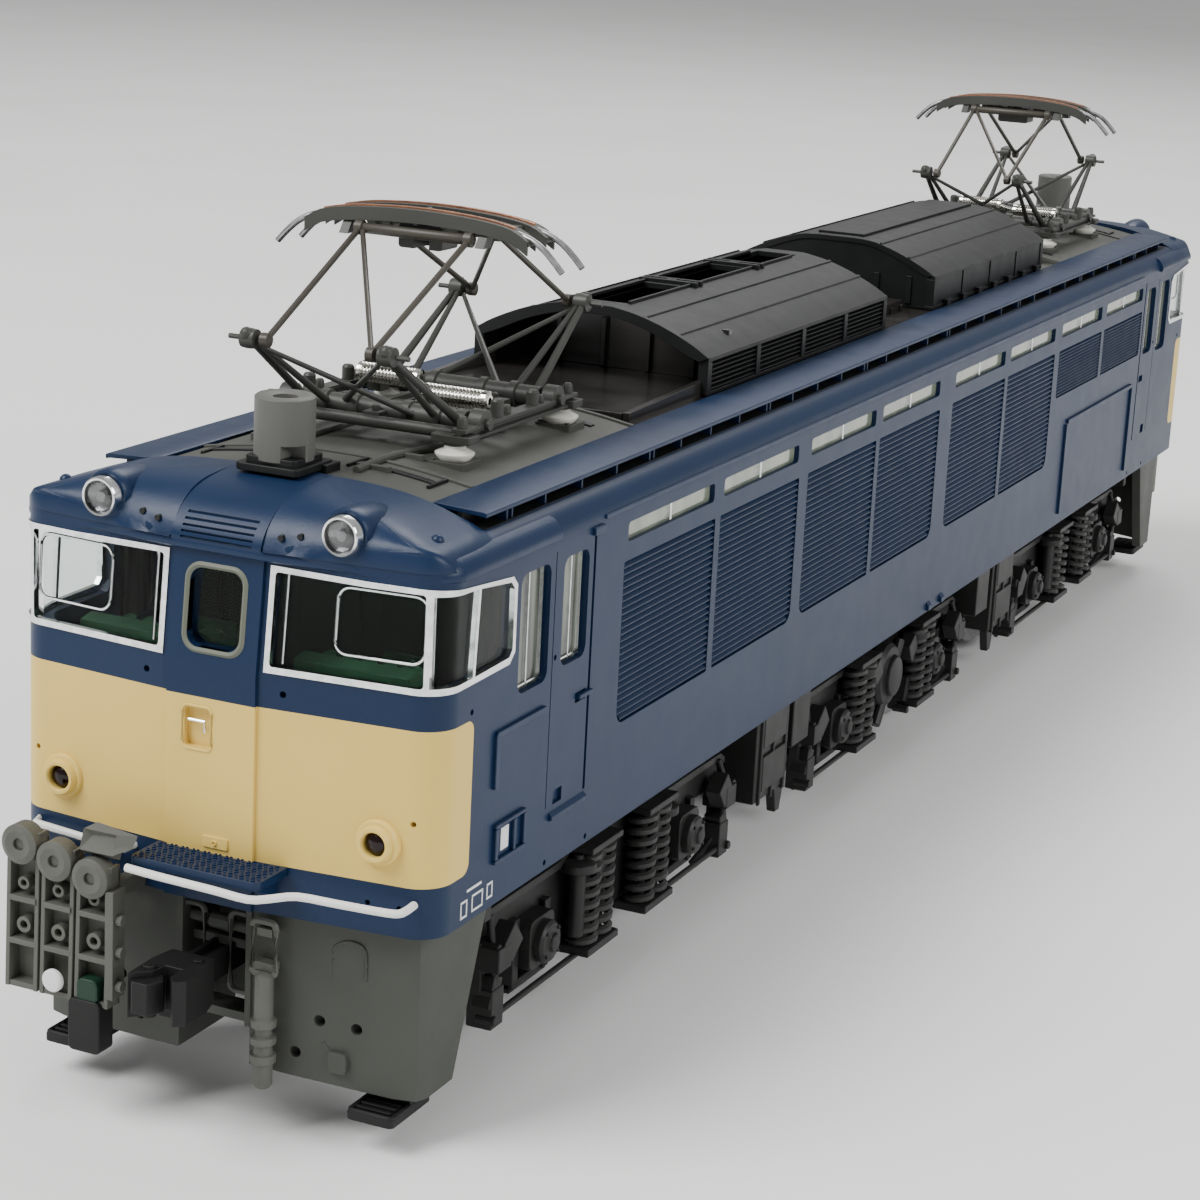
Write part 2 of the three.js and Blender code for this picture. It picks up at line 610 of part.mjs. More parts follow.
// Worm shaft in the gear tower of a powered bogie, and the cardan shaft that drives it.
const WORM_FROM = -BOGIE_PITCH - 5;
const WORM_TO = -BOGIE_PITCH + 5;
const CARDAN_FROM = WORM_TO + 5;
placeAtBothEnds('cardan_shaft_END', join([
  rod([0, CARDAN_FROM, SHAFT_LINE], [0, -24.5, SHAFT_LINE], 0.8, 10),
  rod([0, CARDAN_FROM, SHAFT_LINE], [0, CARDAN_FROM + 4, SHAFT_LINE], 1.6, 10),
  rod([0, -28, SHAFT_LINE], [0, -24.5, SHAFT_LINE], 1.6, 10),
]), BLACK);

function wormShaft() {
  const teeth = Array.from({ length: 3 }, (_, index) => {
    const y = -BOGIE_PITCH - 2.7 + index * 2.2;
    return rod([0, y, SHAFT_LINE], [0, y + 1.1, SHAFT_LINE], 1.9, 8);
  });
  return join([
    rod([0, WORM_FROM - 1.4, SHAFT_LINE], [0, CARDAN_FROM - 0.5, SHAFT_LINE], 0.8, 8),
    rod([0, WORM_FROM + 1.2, SHAFT_LINE], [0, WORM_TO - 1.2, SHAFT_LINE], 1.4, 8),
    rod([0, CARDAN_FROM - 2.2, SHAFT_LINE], [0, CARDAN_FROM - 0.5, SHAFT_LINE], 1.5, 10),
    ...teeth,
  ]);
}
placeAtBothEnds('worm_shaft_END', wormShaft(), BRASS);

// ---------------------------------------------------------------- bogies
// Side frame on the right: beam, axle boxes, spring stacks, brake hangers.
function sideFrame(springY) {
  const beamLow = AXLE_HEIGHT + 1.5;
  const pieces = [
    block([FRAME_INNER, -21.5, beamLow], [FRAME_OUTER, 21.5, beamLow + 3.2]),
    block([FRAME_INNER, -9, AXLE_HEIGHT - 3], [FRAME_OUTER, 9, beamLow + 0.5]),
  ];
  for (const way of [-1, 1]) {
    const y = way * WHEELBASE / 2;
    const hanger = y + way * 6.2;
    pieces.push(
      block([FRAME_INNER, y - 2.6, AXLE_HEIGHT - 2.6], [FRAME_OUTER, y + 2.6, beamLow + 0.5]),
      block([FRAME_OUTER - 0.5, y - 2, AXLE_HEIGHT - 1.9], [15.6, y + 2, AXLE_HEIGHT + 1.9]),
      block([FRAME_INNER + 0.4, hanger - 0.8, AXLE_HEIGHT - 4.6], [14.8, hanger + 0.8, beamLow + 0.5]),
      rod([14.2, way * springY, AXLE_HEIGHT - 2.6], [14.2, way * springY, beamLow + 4.8], 1.7, 8),
    );
  }
  return join(pieces);
}

function bogieFrame(springY, powered) {
  const beamTop = AXLE_HEIGHT + 4.7;
  const side = sideFrame(springY);
  const axleBores = [-1, 1].flatMap((way) => [-1, 1].map((hand) => {
    const y = way * WHEELBASE / 2;
    return rod([hand * (FRAME_INNER - 1), y, AXLE_HEIGHT], [hand * 14.2, y, AXLE_HEIGHT], AXLE_RADIUS + GAP, 8);
  }));
  const pieces = [
    side,
    side.mirror([1, 0, 0]),
    block([-FRAME_INNER - 0.5, -5.2, AXLE_HEIGHT - 1], [FRAME_INNER + 0.5, 5.2, beamTop]),
    rod([0, 0, beamTop - 1], [0, 0, powered ? beamTop + 2 : CHASSIS_LOW + 1.4], PIVOT_RADIUS, 12),
  ];
  if (powered) {
    pieces.push(block([-TOWER_HALF, -TOWER_HALF, beamTop - 1], [TOWER_HALF, TOWER_HALF, SHAFT_LINE + 3.6]));
  }
  const frame = join(pieces);
  if (!powered) {
    return cut(frame, axleBores);
  }
  const chamber = block([-3.6, -4.2, SHAFT_LINE - 3.4], [3.6, 4.2, SHAFT_LINE + 2.4]);
  const shaftBore = rod([0, -9, SHAFT_LINE], [0, 9, SHAFT_LINE], 0.8 + GAP, 12);
  return cut(frame, [...axleBores, chamber, shaftBore]);
}
const poweredBogie = bogieFrame(6.2, true).translate([0, -BOGIE_PITCH, 0]);
placeAtBothEnds('bogie_frame_END', poweredBogie, BLACK);
place('bogie_frame_middle', bogieFrame(9.6, false), BLACK);

// Middle bogie's bolster: it slides across the chassis and carries the pivot.
place('bolster_middle', cut(
  block([-4.6, -BOLSTER_HALF, CHASSIS_LOW + 0.3], [4.6, BOLSTER_HALF, CHASSIS_LOW + 1.5]),
  [rod([0, 0, 0], [0, 0, 40], PIVOT_RADIUS + GAP, 12)],
), METAL);

function wheelset(geared) {
  const inner = BACK_TO_BACK / 2;
  const profile = [
    [0, 0], [FLANGE_RADIUS, 0], [FLANGE_RADIUS, 0.5], [TREAD_RADIUS + 0.15, 0.9],
    [TREAD_RADIUS, WHEEL_WIDTH], [TREAD_RADIUS - 1, WHEEL_WIDTH], [TREAD_RADIUS - 1.3, WHEEL_WIDTH - 0.6],
    [0, WHEEL_WIDTH - 0.6],
  ].map(([radius, along]) => new THREE.Vector2(radius, along));
  const wheel = (hand) => solid(
    new THREE.LatheGeometry(profile, 16).rotateZ(-hand * Math.PI / 2).translate(hand * inner, 0, 0),
  );
  const pieces = [rod([-12.6, 0, 0], [12.6, 0, 0], AXLE_RADIUS, 8), wheel(-1), wheel(1)];
  if (geared) {
    pieces.push(rod([-1.5, 0, 0], [1.5, 0, 0], 3.6, 12));
  }
  return join(pieces).translate([0, 0, AXLE_HEIGHT]);
}
for (const [index, way] of [-1, 1].entries()) {
  const y = way * WHEELBASE / 2;
  const name = ['outer', 'inner'][index];
  placeAtBothEnds(`wheelset_END_${name}`, wheelset(true).translate([0, -BOGIE_PITCH + y, 0]), METAL);
  place(`wheelset_middle_${['front', 'rear'][index]}`, wheelset(false).translate([0, y, 0]), METAL);
}

// ---------------------------------------------------------------- ends below the body
const COUPLER_Z = 11.5;
const COUPLER_PIVOT = 9.5; // behind the front face
const SKIRT_LOW = 3.2;
function skirt() {
  const y = -END;
  const outer = pulledUp(mirrored([[3, y + 0.9], [15.6, y + 2.6], [16, y + 3.2], [16, y + 12.6], [3, y + 12.6]]),
    SKIRT_LOW, BODY_BOTTOM - GAP);
  const hollow = pulledUp(mirrored([[3, y + 2.1], [14.8, y + 3.8], [14.8, y + 14], [3, y + 14]]),
    SKIRT_LOW - 1, BODY_BOTTOM - GAP - 1);
  const slant = pulledAcross([[y + 14, 0], [y + 14, BODY_BOTTOM], [y + 12.4, BODY_BOTTOM - 1], [y + 6.6, 0]], -20, 20);
  const mouth = block([-3, y - 2, 7], [3, y + 5, 14.5]);
  const steps = mirrorPair((hand) => [
    block([hand > 0 ? 11.1 : -14.9, y + 1, 1.9], [hand > 0 ? 14.9 : -11.1, y + 6.8, 3]),
    block([hand > 0 ? 14 : -15, y + 3.6, 2.5], [hand > 0 ? 15 : -14, y + 5, 5]),
  ]);
  const hose = [
    rod([5.2, y + 0.6, BODY_BOTTOM - 12.4], [5.2, y + 0.6, BODY_BOTTOM - 4.6], 0.8, 10),
    block([4.4, y + 0.6, 8], [6, y + 2.2, 11]),
  ];
  const couplerPost = block([-2, y + 8, COUPLER_Z + 1.1], [2, y + 11, BODY_BOTTOM - 1]);
  return join([cut(outer, [hollow, slant, mouth]), ...steps, ...hose, couplerPost]);
}
placeAtBothEnds('skirt_END', skirt(), SKIRT_GREY);

function coupler() {
  const y = -END;
  return join([
    rod([0, y + COUPLER_PIVOT, COUPLER_Z - 0.8], [0, y + COUPLER_PIVOT, COUPLER_Z + 0.8], 1.6, 14),
    block([-0.9, y - 3.4, COUPLER_Z - 0.8], [0.9, y + COUPLER_PIVOT, COUPLER_Z + 0.8]),
    block([-1.7, y - 4.6, COUPLER_Z - 1.8], [1.7, y - 2, COUPLER_Z + 1.8]),
    block([-1.9, y - 7.6, COUPLER_Z - 1.8], [-0.5, y - 4, COUPLER_Z + 1.8]),
    block([1, y - 7.2, COUPLER_Z - 1.5], [2.4, y - 4, COUPLER_Z + 1.5]),
  ]);
}
placeAtBothEnds('coupler_END', coupler(), BLACK);

// Rack of jumper couplings on the left of the front.
function jumperRack() {
  const y = -END;
  const front = y - 5.2;
  const plate = block([-14.6, front + 0.6, 8.2], [-4.6, front + 2, 21]);
  const windows = [-13.2, -10.2, -7.2].flatMap((x) => [9.4, 13.4].map((z) => block(
    [x, front - 1, z], [x + 2, front + 3, z + 2.6],
  )));
  const sockets = [[-12.6, 18.6], [-9.4, 17.8], [-6.2, 18.2]].map(([x, z]) => rod(
    [x, front - 0.6, z], [x, front + 1, z], 1.5, 14,
  ));
  const arms = [-13.6, -5.8].map((x) => block([x, front + 1.6, 17], [x + 1, y - GAP, 18.4]));
  return join([cut(plate, windows), ...sockets, ...arms, block([-8.8, front + 0.2, 5.4], [-6, front + 1.8, 9])]);
}
placeAtBothEnds('jumper_rack_END', jumperRack(), SKIRT_GREY);

function handrail() {
  const y = -END;
  const z = BODY_BOTTOM + 2.4;
  const path = [[-4.2, y - 4.2], [0, y - 4.3], [6, y - 4.3], [8.6, y - 2.1], [12, y - 1.4], [15.6, y - 0.4]];
  return bentRod(path.map(([x, py]) => [x, py, z]), 0.3, 6, 16);
}
placeAtBothEnds('front_handrail_END', handrail(), WHITE);

export default model;
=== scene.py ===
"""Looks of the model electric locomotive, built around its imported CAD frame.

Lengths in this script are millimetres in the CAD frame and become metres in piece().
The near cab looks along -Y. What both ends have is built for the near end and turned half round for the far
end.
"""
import math

import bmesh
import bpy
from mathutils import Matrix, Vector


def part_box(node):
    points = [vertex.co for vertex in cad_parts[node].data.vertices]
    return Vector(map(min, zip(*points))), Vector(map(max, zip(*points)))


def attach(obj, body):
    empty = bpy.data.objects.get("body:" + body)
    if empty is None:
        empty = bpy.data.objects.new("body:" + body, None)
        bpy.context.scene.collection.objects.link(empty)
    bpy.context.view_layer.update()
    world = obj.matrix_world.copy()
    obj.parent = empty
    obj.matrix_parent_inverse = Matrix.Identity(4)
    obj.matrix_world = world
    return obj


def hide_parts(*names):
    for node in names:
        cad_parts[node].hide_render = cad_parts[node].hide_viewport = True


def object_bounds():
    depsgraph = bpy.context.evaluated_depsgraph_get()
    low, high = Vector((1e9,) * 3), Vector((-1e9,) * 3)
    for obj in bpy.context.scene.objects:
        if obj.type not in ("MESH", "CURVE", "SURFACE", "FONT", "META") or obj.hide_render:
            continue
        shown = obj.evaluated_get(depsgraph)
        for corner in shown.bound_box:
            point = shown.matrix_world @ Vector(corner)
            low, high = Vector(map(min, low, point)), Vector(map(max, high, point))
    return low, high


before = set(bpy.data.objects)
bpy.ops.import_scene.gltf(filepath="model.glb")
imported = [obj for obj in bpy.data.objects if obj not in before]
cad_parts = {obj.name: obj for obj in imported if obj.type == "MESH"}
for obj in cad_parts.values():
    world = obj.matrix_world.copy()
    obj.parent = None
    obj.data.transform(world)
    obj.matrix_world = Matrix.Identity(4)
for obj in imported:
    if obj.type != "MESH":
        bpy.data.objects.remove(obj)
cad_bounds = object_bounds()

MM = 0.001
HALF_TURN = Matrix.Rotation(math.pi, 4, "Z")


def box_mm(node):
    low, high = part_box(node)
    return low / MM, high / MM


# ---------------------------------------------------------------- places read from the frame
BASE = box_mm("body_shell")[0].z        # lower edge of the body side
FRONT = 106.5                           # front face from the middle of the body
SIDE = 17.5                             # body side from the middle
DOOR = 3.65                             # half width of the front door section
BELT = BASE + 17.3                      # where the front starts to lean back
BODY = "locomotive"


# ---------------------------------------------------------------- mesh kit
def circle(radius, sides, first=0.0):
    """Points of a circle, the first of them turned by a part of a step."""
    angles = [2 * math.pi * (i + first) / sides for i in range(sides)]
    return [(radius * math.cos(t), radius * math.sin(t)) for t in angles]


def sided(hand, a, b):
    """Two distances from the middle, on the side that hand says, in rising order."""
    return sorted((hand * a, hand * b))


def height_on(line, at):
    """Height at a distance on a line of (distance, height) points whose distances fall."""
    for (a, za), (b, zb) in zip(line, line[1:]):
        if b <= at <= a:
            return za + (zb - za) * (a - at) / max(a - b, 1e-9)
    return line[0][1] if at > line[0][0] else line[-1][1]


class Solid:
    """Collects closed pieces of surface in one bmesh."""

    def __init__(self):
        self.bm = bmesh.new()

    def walls(self, rows):
        """Faces between neighbouring rows of vertices, all of one length."""
        count = len(rows[0])
        return [
            self.bm.faces.new((a[i], a[(i + 1) % count], b[(i + 1) % count], b[i]))
            for a, b in zip(rows, rows[1:]) for i in range(count)
        ]

    def rings(self, rings):
        """Joins rings of points, all of one length, into a tube and closes its ends."""
        made = [[self.bm.verts.new(p) for p in ring] for ring in rings]
        faces = self.walls(made)
        faces += [self.bm.faces.new(made[0][::-1]), self.bm.faces.new(made[-1])]
        bmesh.ops.recalc_face_normals(self.bm, faces=faces)
        return self

    def loop(self, sections):
        """Joins sections of one length into a closed ring."""
        made = [[self.bm.verts.new(p) for p in section] for section in sections]
        bmesh.ops.recalc_face_normals(self.bm, faces=self.walls(made + made[:1]))
        return self

    def box(self, low, high):
        (x0, y0, z0), (x1, y1, z1) = low, high
        outline = [(x0, y0), (x1, y0), (x1, y1), (x0, y1)]
        return self.rings([[(x, y, z) for x, y in outline] for z in (z0, z1)])

    def block(self, centre, size, turn=None):
        """A box about its centre, turned by a 4x4 matrix."""
        half = Vector(size) / 2
        corners = [(-1, -1), (1, -1), (1, 1), (-1, 1)]
        turn = turn or Matrix.Identity(4)
        return self.rings([
            [Vector(centre) + turn @ Vector((x * half.x, y * half.y, z * half.z)) for x, y in corners]
            for z in (-1, 1)
        ])

    def prism(self, outline, axis, low, high):
        """An outline in the two other axes, in X, Y, Z order, pulled along the axis."""
        def at(a, b, c):
            return {"x": (c, a, b), "y": (a, c, b), "z": (a, b, c)}[axis]
        return self.rings([[at(a, b, c) for a, b in outline] for c in (low, high)])

    def rod(self, start, end, radius, sides=12, end_radius=None):
        start, end = Vector(start), Vector(end)
        turn = (end - start).to_track_quat("Z", "Y")
        rings = []
        for centre, r in ((start, radius), (end, radius if end_radius is None else end_radius)):
            rings.append([centre + turn @ Vector((*p, 0)) for p in circle(r, sides)])
        return self.rings(rings)

    def lathe(self, profile, origin, axis, sides=32):
        """Turns (radius, along) points about the axis. The profile's ends are closed flat."""
        turn = Vector(axis).to_track_quat("Z", "Y")
        rings = []
        for radius, along in profile:
            rings.append([Vector(origin) + turn @ Vector((*p, along)) for p in circle(radius, sides)])
        return self.rings(rings)

    def ring(self, profile, origin, axis, sides=32):
        """Turns a closed (radius, along) outline about the axis, as a ring with a hole."""
        turn = Vector(axis).to_track_quat("Z", "Y")
        return self.loop([
            [Vector(origin) + turn @ Vector((r * x, r * y, along)) for r, along in profile]
            for x, y in circle(1, sides)
        ])

    def tube(self, points, radius, sides=8, closed=False):
        """A tube through points."""
        points = [Vector(p) for p in points]
        count = len(points)
        sections = []
        for k, p in enumerate(points):
            before = points[k - 1] if (k or closed) else points[0]
            after = points[(k + 1) % count] if (k < count - 1 or closed) else points[-1]
            turn = (after - before).to_track_quat("Z", "Y")
            sections.append([p + turn @ Vector((*q, 0)) for q in circle(radius, sides, 0.5)])
        return self.loop(sections) if closed else self.rings(sections)

    def ball(self, centre, radius, sides=16):
        rows = sides // 2
        profile = [
            (radius * math.sin(math.pi * i / rows), -radius * math.cos(math.pi * i / rows))
            for i in range(rows + 1)
        ]
        profile[0] = (radius * 0.03, -radius)
        profile[-1] = (radius * 0.03, radius)
        return self.lathe(profile, centre, (0, 0, 1), sides)

    def add(self, other, matrix=None):
        """Adds a copy of another solid, moved by the matrix."""
        mesh = bpy.data.meshes.new("part")
        other.bm.to_mesh(mesh)
        if matrix is not None:
            mesh.transform(matrix)
        self.bm.from_mesh(mesh)
        bpy.data.meshes.remove(mesh)
        return self

    def mirrored(self):
        """Adds a copy of everything, mirrored left to right."""
        everything = self.bm.verts[:] + self.bm.edges[:] + self.bm.faces[:]
        copies = bmesh.ops.duplicate(self.bm, geom=everything)["geom"]
        verts = [v for v in copies if isinstance(v, bmesh.types.BMVert)]
        faces = [f for f in copies if isinstance(f, bmesh.types.BMFace)]
        bmesh.ops.scale(self.bm, vec=(-1, 1, 1), verts=verts)
        bmesh.ops.reverse_faces(self.bm, faces=faces)
        return self

    def turned(self):
        """A copy of this solid turned half round Z."""
        return Solid().add(self, HALF_TURN)

    def moved(self, x, y, z):
        bmesh.ops.translate(self.bm, vec=(x, y, z), verts=self.bm.verts[:])
        return self

    def object(self, name):
        mesh = bpy.data.meshes.new(name)
        self.bm.to_mesh(mesh)
        self.bm.free()
        obj = bpy.data.objects.new(name, mesh)
        bpy.context.scene.collection.objects.link(obj)
        return obj


def arc(cx, cy, radius, start, end, steps):
    """Points of an arc, angles in degrees."""
    angles = [math.radians(start + (end - start) * i / steps) for i in range(steps + 1)]
    return [(cx + radius * math.cos(a), cy + radius * math.sin(a)) for a in angles]


def rounded(a0, b0, a1, b1, radius, steps=5):
    """A rectangle with rounded corners. radius may be four values, turning left from the low first corner."""
    r = [radius] * 4 if isinstance(radius, (int, float)) else radius
    return (
        arc(a0 + r[0], b0 + r[0], r[0], 180, 270, steps)
        + arc(a1 - r[1], b0 + r[1], r[1], 270, 360, steps)
        + arc(a1 - r[2], b1 - r[2], r[2], 0, 90, steps)
        + arc(a0 + r[3], b1 - r[3], r[3], 90, 180, steps)
    )


def discard(obj):
    """Removes an object and its mesh."""
    mesh = obj.data
    bpy.data.objects.remove(obj)
    bpy.data.meshes.remove(mesh)


def boolean(target, cutter, operation):
    """Cuts or joins the target object with another, which is then removed."""
    modifier = target.modifiers.new("cut", "BOOLEAN")
    modifier.object = cutter
    modifier.operation = operation
    modifier.solver = "EXACT"
    with bpy.context.temp_override(object=target):
        bpy.ops.object.modifier_apply(modifier=modifier.name)
    discard(cutter)


def cut(target, *cutters):
    """Takes each solid out of the target object, one after another."""
    for cutter in cutters:
        boolean(target, cutter.object("cutter"), "DIFFERENCE")


def taken(obj):
    """An object's mesh as a Solid; the object is removed."""
    solid = Solid()
    solid.bm.from_mesh(obj.data)
    discard(obj)
    return solid


def piece(name, solid, material, body=BODY, slot=None, replaces=(), bevel=0.0, smooth=32, segments=2):
    """Makes one finished piece from a solid or an object in millimetres."""
    obj = solid.object(name) if isinstance(solid, Solid) else solid
    obj.name = name
    obj.data.transform(Matrix.Scale(MM, 4))
    materials = material if isinstance(material, (list, tuple)) else [material]
    obj.data.materials.clear()
    for entry in materials:
        obj.data.materials.append(entry)
    for polygon in obj.data.polygons:
        polygon.use_smooth = True
    obj.data.set_sharp_from_angle(angle=math.radians(smooth))
    if bevel:
        modifier = obj.modifiers.new("edge", "BEVEL")
        modifier.width = bevel * MM
        modifier.segments = segments
        modifier.limit_method = "ANGLE"
        modifier.angle_limit = math.radians(40)
        modifier.harden_normals = True
    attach(obj, body)
    if replaces:
        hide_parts(*replaces)
    return obj


def at_both_ends(name, solid, material, body=BODY, replaces=(), **options):
    """A piece for the near end and its twin for the far end. END in a name becomes near or far."""
    twin = solid.turned()
    for end, shape in (("near", solid), ("far", twin)):
        piece(
            name.replace("END", end), shape, material, body=body.replace("END", end),
            replaces=[node.replace("END", end) for node in replaces], **options,
        )


# ---------------------------------------------------------------- materials
class Surface:
    """A node material built step by step around one Principled shader."""

    def __init__(self, name, color, roughness, metallic=0.0):
        self.material = bpy.data.materials.new(name)
        self.material.use_nodes = True
        self.tree = self.material.node_tree
        self.shader = self.tree.nodes["Principled BSDF"]
        self.shader.inputs["Base Color"].default_value = (*color, 1)
        self.shader.inputs["Roughness"].default_value = roughness
        self.shader.inputs["Metallic"].default_value = metallic
        self.coords = self.tree.nodes.new("ShaderNodeTexCoord").outputs["Object"]

    def feed(self, socket, value):
        """Links another node's output to a socket, or sets the socket's own value."""
        if hasattr(value, "links"):
            self.tree.links.new(value, socket)
        else:
            socket.default_value = value

    def node(self, kind, inputs=None, **settings):
        made = self.tree.nodes.new(kind)
        for key, value in settings.items():
            setattr(made, key, value)
        for key, value in (inputs or {}).items():
            self.feed(made.inputs[key], value)
        return made

    def noise(self, size, detail=3.0, stretch=None):
        """Noise whose blotches are about size millimetres across."""
        vector = self.coords
        if stretch:
            vector = self.node("ShaderNodeMapping", {"Vector": vector, "Scale": stretch}).outputs["Vector"]
        return self.node("ShaderNodeTexNoise", {
            "Vector": vector, "Scale": 1 / (size * MM), "Detail": detail, "Distortion": 0.0,
        }).outputs["Fac"]

    def ramp(self, value, low, high, color_low, color_high):
        made = self.node("ShaderNodeValToRGB", {"Fac": value})
        made.color_ramp.elements[0].position = low
        made.color_ramp.elements[1].position = high
        made.color_ramp.elements[0].color = (*color_low, 1)
        made.color_ramp.elements[1].color = (*color_high, 1)
        return made.outputs["Color"]

    def mix(self, fac, a, b):
        made = self.node("ShaderNodeMix", data_type="RGBA", blend_type="MIX")
        self.feed(made.inputs[0], fac)
        for socket, color in ((made.inputs[6], a), (made.inputs[7], b)):
            self.feed(socket, color if hasattr(color, "links") else (*color, 1))
        return made.outputs[2]

    def math(self, operation, *values):
        made = self.node("ShaderNodeMath", operation=operation)
        for socket, value in zip(made.inputs, values):
            self.feed(socket, value)
        return made.outputs[0]

    def set_color(self, output):
        self.tree.links.new(output, self.shader.inputs["Base Color"])
        return self

    def vary_roughness(self, low, high, size):
        made = self.node("ShaderNodeMapRange", {
            "Value": self.noise(size), "From Min": 0.3, "From Max": 0.7, "To Min": low, "To Max": high,
        })
        self.tree.links.new(made.outputs["Result"], self.shader.inputs["Roughness"])
        return self

    def bump(self, height, distance, strength=1.0):
        made = self.node("ShaderNodeBump", {"Height": height, "Distance": distance * MM,
                                            "Strength": strength})
        self.tree.links.new(made.outputs["Normal"], self.shader.inputs["Normal"])
        return self

    def set(self, **values):
        for key, value in values.items():
            self.shader.inputs[key.replace("_", " ")].default_value = value
        return self


def shade(color, factor):
    return tuple(min(1.0, c * factor) for c in color)


def moulded(name, color, roughness=0.5, grain=0.25, spread=0.06, coat=0.0):
    """Painted or moulded plastic: faint blotches, uneven gloss and a fine grain."""
    s = Surface(name, color, roughness)
    blotch = s.noise(9, 4)
    fine = s.noise(grain, 2)
    base = s.ramp(blotch, 0.3, 0.7, shade(color, 1 - spread), shade(color, 1 + spread))
    s.set_color(s.mix(s.math("MULTIPLY", fine, 0.18), base, shade(color, 1.45)))
    s.vary_roughness(roughness - 0.04, roughness + 0.05, 2.5)
    s.set(Specular_IOR_Level=0.3)
    s.bump(fine, 0.02, 0.5)
    if coat:
        s.set(Coat_Weight=coat, Coat_Roughness=0.18)
    return s.material


def metal(name, color, roughness=0.3, streak=0.6):
    """Turned or plated metal with fine streaks."""
    s = Surface(name, color, roughness, 1.0)
    lines = s.noise(streak, 3, stretch=(1, 0.15, 1))
    s.set_color(s.ramp(lines, 0.3, 0.7, shade(color, 0.82), shade(color, 1.1)))
    s.vary_roughness(max(0.05, roughness - 0.08), roughness + 0.12, 1.2)
    s.bump(lines, 0.008, 0.4)
    return s.material


NAVY = (0.0032, 0.0165, 0.052)
CREAM = (0.72, 0.51, 0.13)
BAND_LOW, BAND_HIGH = 3.74, 15.14       # cream band, above the body's lower edge
BAND_REAR = 6.1                         # where the band ends, behind the front face
BAND_CORNER = 0.9                       # radius of its rear corners


def body_paint():
    """Navy with a cream band round the lower front, its rear corners rounded on the body side."""
    s = Surface("body_paint", NAVY, 0.36)
    _, y, z = s.node("ShaderNodeSeparateXYZ", {"Vector": s.coords}).outputs
    middle = (BASE + (BAND_LOW + BAND_HIGH) / 2) * MM
    half = ((BAND_HIGH - BAND_LOW) / 2 - BAND_CORNER) * MM
    from_middle = s.math("ABSOLUTE", s.math("SUBTRACT", z, middle))
    past_z = s.math("MAXIMUM", s.math("SUBTRACT", from_middle, half), 0.0)
    rear = (FRONT - BAND_REAR + BAND_CORNER) * MM
    past_y = s.math("MAXIMUM", s.math("SUBTRACT", rear, s.math("ABSOLUTE", y)), 0.0)
    squares = [s.math("MULTIPLY", past, past) for past in (past_z, past_y)]
    reach = s.math("SQRT", s.math("ADD", *squares))
    band = s.math("LESS_THAN", reach, BAND_CORNER * MM)
    blotch = s.noise(12, 4)
    fine = s.noise(0.22, 2)
    navy = s.ramp(blotch, 0.3, 0.7, shade(NAVY, 0.96), shade(NAVY, 1.05))
    cream = s.ramp(blotch, 0.3, 0.7, shade(CREAM, 0.96), shade(CREAM, 1.03))
    paint = s.mix(band, navy, cream)
    s.set_color(s.mix(s.math("MULTIPLY", fine, 0.012), paint, (0.5, 0.5, 0.48)))
    s.vary_roughness(0.36, 0.4, 3)
    s.bump(fine, 0.012, 0.5)
    s.set(Specular_IOR_Level=0.22)
    return s.material


def clear(name, tint, roughness, ior=1.46):
    """Clear moulding: mostly see-through, glossy, faintly tinted."""
    s = Surface(name, tint, roughness)
    s.set(Transmission_Weight=1.0, IOR=ior)
    s.bump(s.noise(6, 2), 0.03, 0.3)
    s.set_color(s.ramp(s.noise(4, 2), 0.3, 0.7, shade(tint, 0.94), shade(tint, 1.0)))
    return s.material


def clerestory():
    """Milky pane: grey-green with soft darker patches behind a glossy skin."""
    s = Surface("clerestory_pane", (0.42, 0.46, 0.36), 0.12)
    s.set_color(s.ramp(s.noise(3.5, 3), 0.25, 0.75, (0.12, 0.145, 0.115), (0.27, 0.3, 0.22)))
    s.bump(s.noise(2, 2), 0.02, 0.3)
    s.set(Coat_Weight=0.6, Coat_Roughness=0.05)
    return s.material


def streaked_pane():
    """Side window: smoky pane with soft upright streaks."""
    s = Surface("side_pane", (0.06, 0.07, 0.055), 0.12)
    streaks = s.noise(1.1, 2, stretch=(1, 1, 0.08))
    s.set_color(s.ramp(streaks, 0.35, 0.65, (0.025, 0.03, 0.024), (0.16, 0.175, 0.145)))
    s.bump(streaks, 0.02, 0.3)
    return s.material


PAINT = body_paint()
NAVY_PLASTIC = moulded("navy_plastic", NAVY, 0.38)
# the body's navy made darker, as painted shade on the louvre slats and the walkway risers
NAVY_SHADOW = moulded("navy_painted_shade", shade(NAVY, 0.9), 0.42)
CREAM_PLASTIC = moulded("cream_plastic", CREAM, 0.42, spread=0.04)
ROOF_PAINT = moulded("roof_grey", (0.06, 0.062, 0.054), 0.6, spread=0.1)
WHISTLE_GREY = moulded("whistle_grey", (0.1, 0.1, 0.092), 0.5)
VENT_BLACK = moulded("vent_black", (0.0055, 0.006, 0.0062), 0.45, spread=0.25)
MATT_BLACK = moulded("matt_black", (0.007, 0.007, 0.007), 0.55, spread=0.25)
BOGIE_BLACK = moulded("bogie_black", (0.014, 0.014, 0.0135), 0.45, spread=0.3)
SKIRT_GREY = moulded("skirt_grey", (0.05, 0.054, 0.046), 0.55, spread=0.08)
RACK_GREY = moulded("rack_grey", (0.085, 0.086, 0.075), 0.48, spread=0.12)
PANTO_GREY = moulded("pantograph_grey", (0.042, 0.043, 0.038), 0.42, spread=0.15)
PANTO_ROD = moulded("pantograph_rod", (0.05, 0.045, 0.036), 0.38, spread=0.2)
INSULATOR = moulded("insulator", (0.8, 0.79, 0.7), 0.25, spread=0.05, coat=0.4)
WHITE = moulded("white_paint", (0.76, 0.76, 0.74), 0.4, spread=0.04)
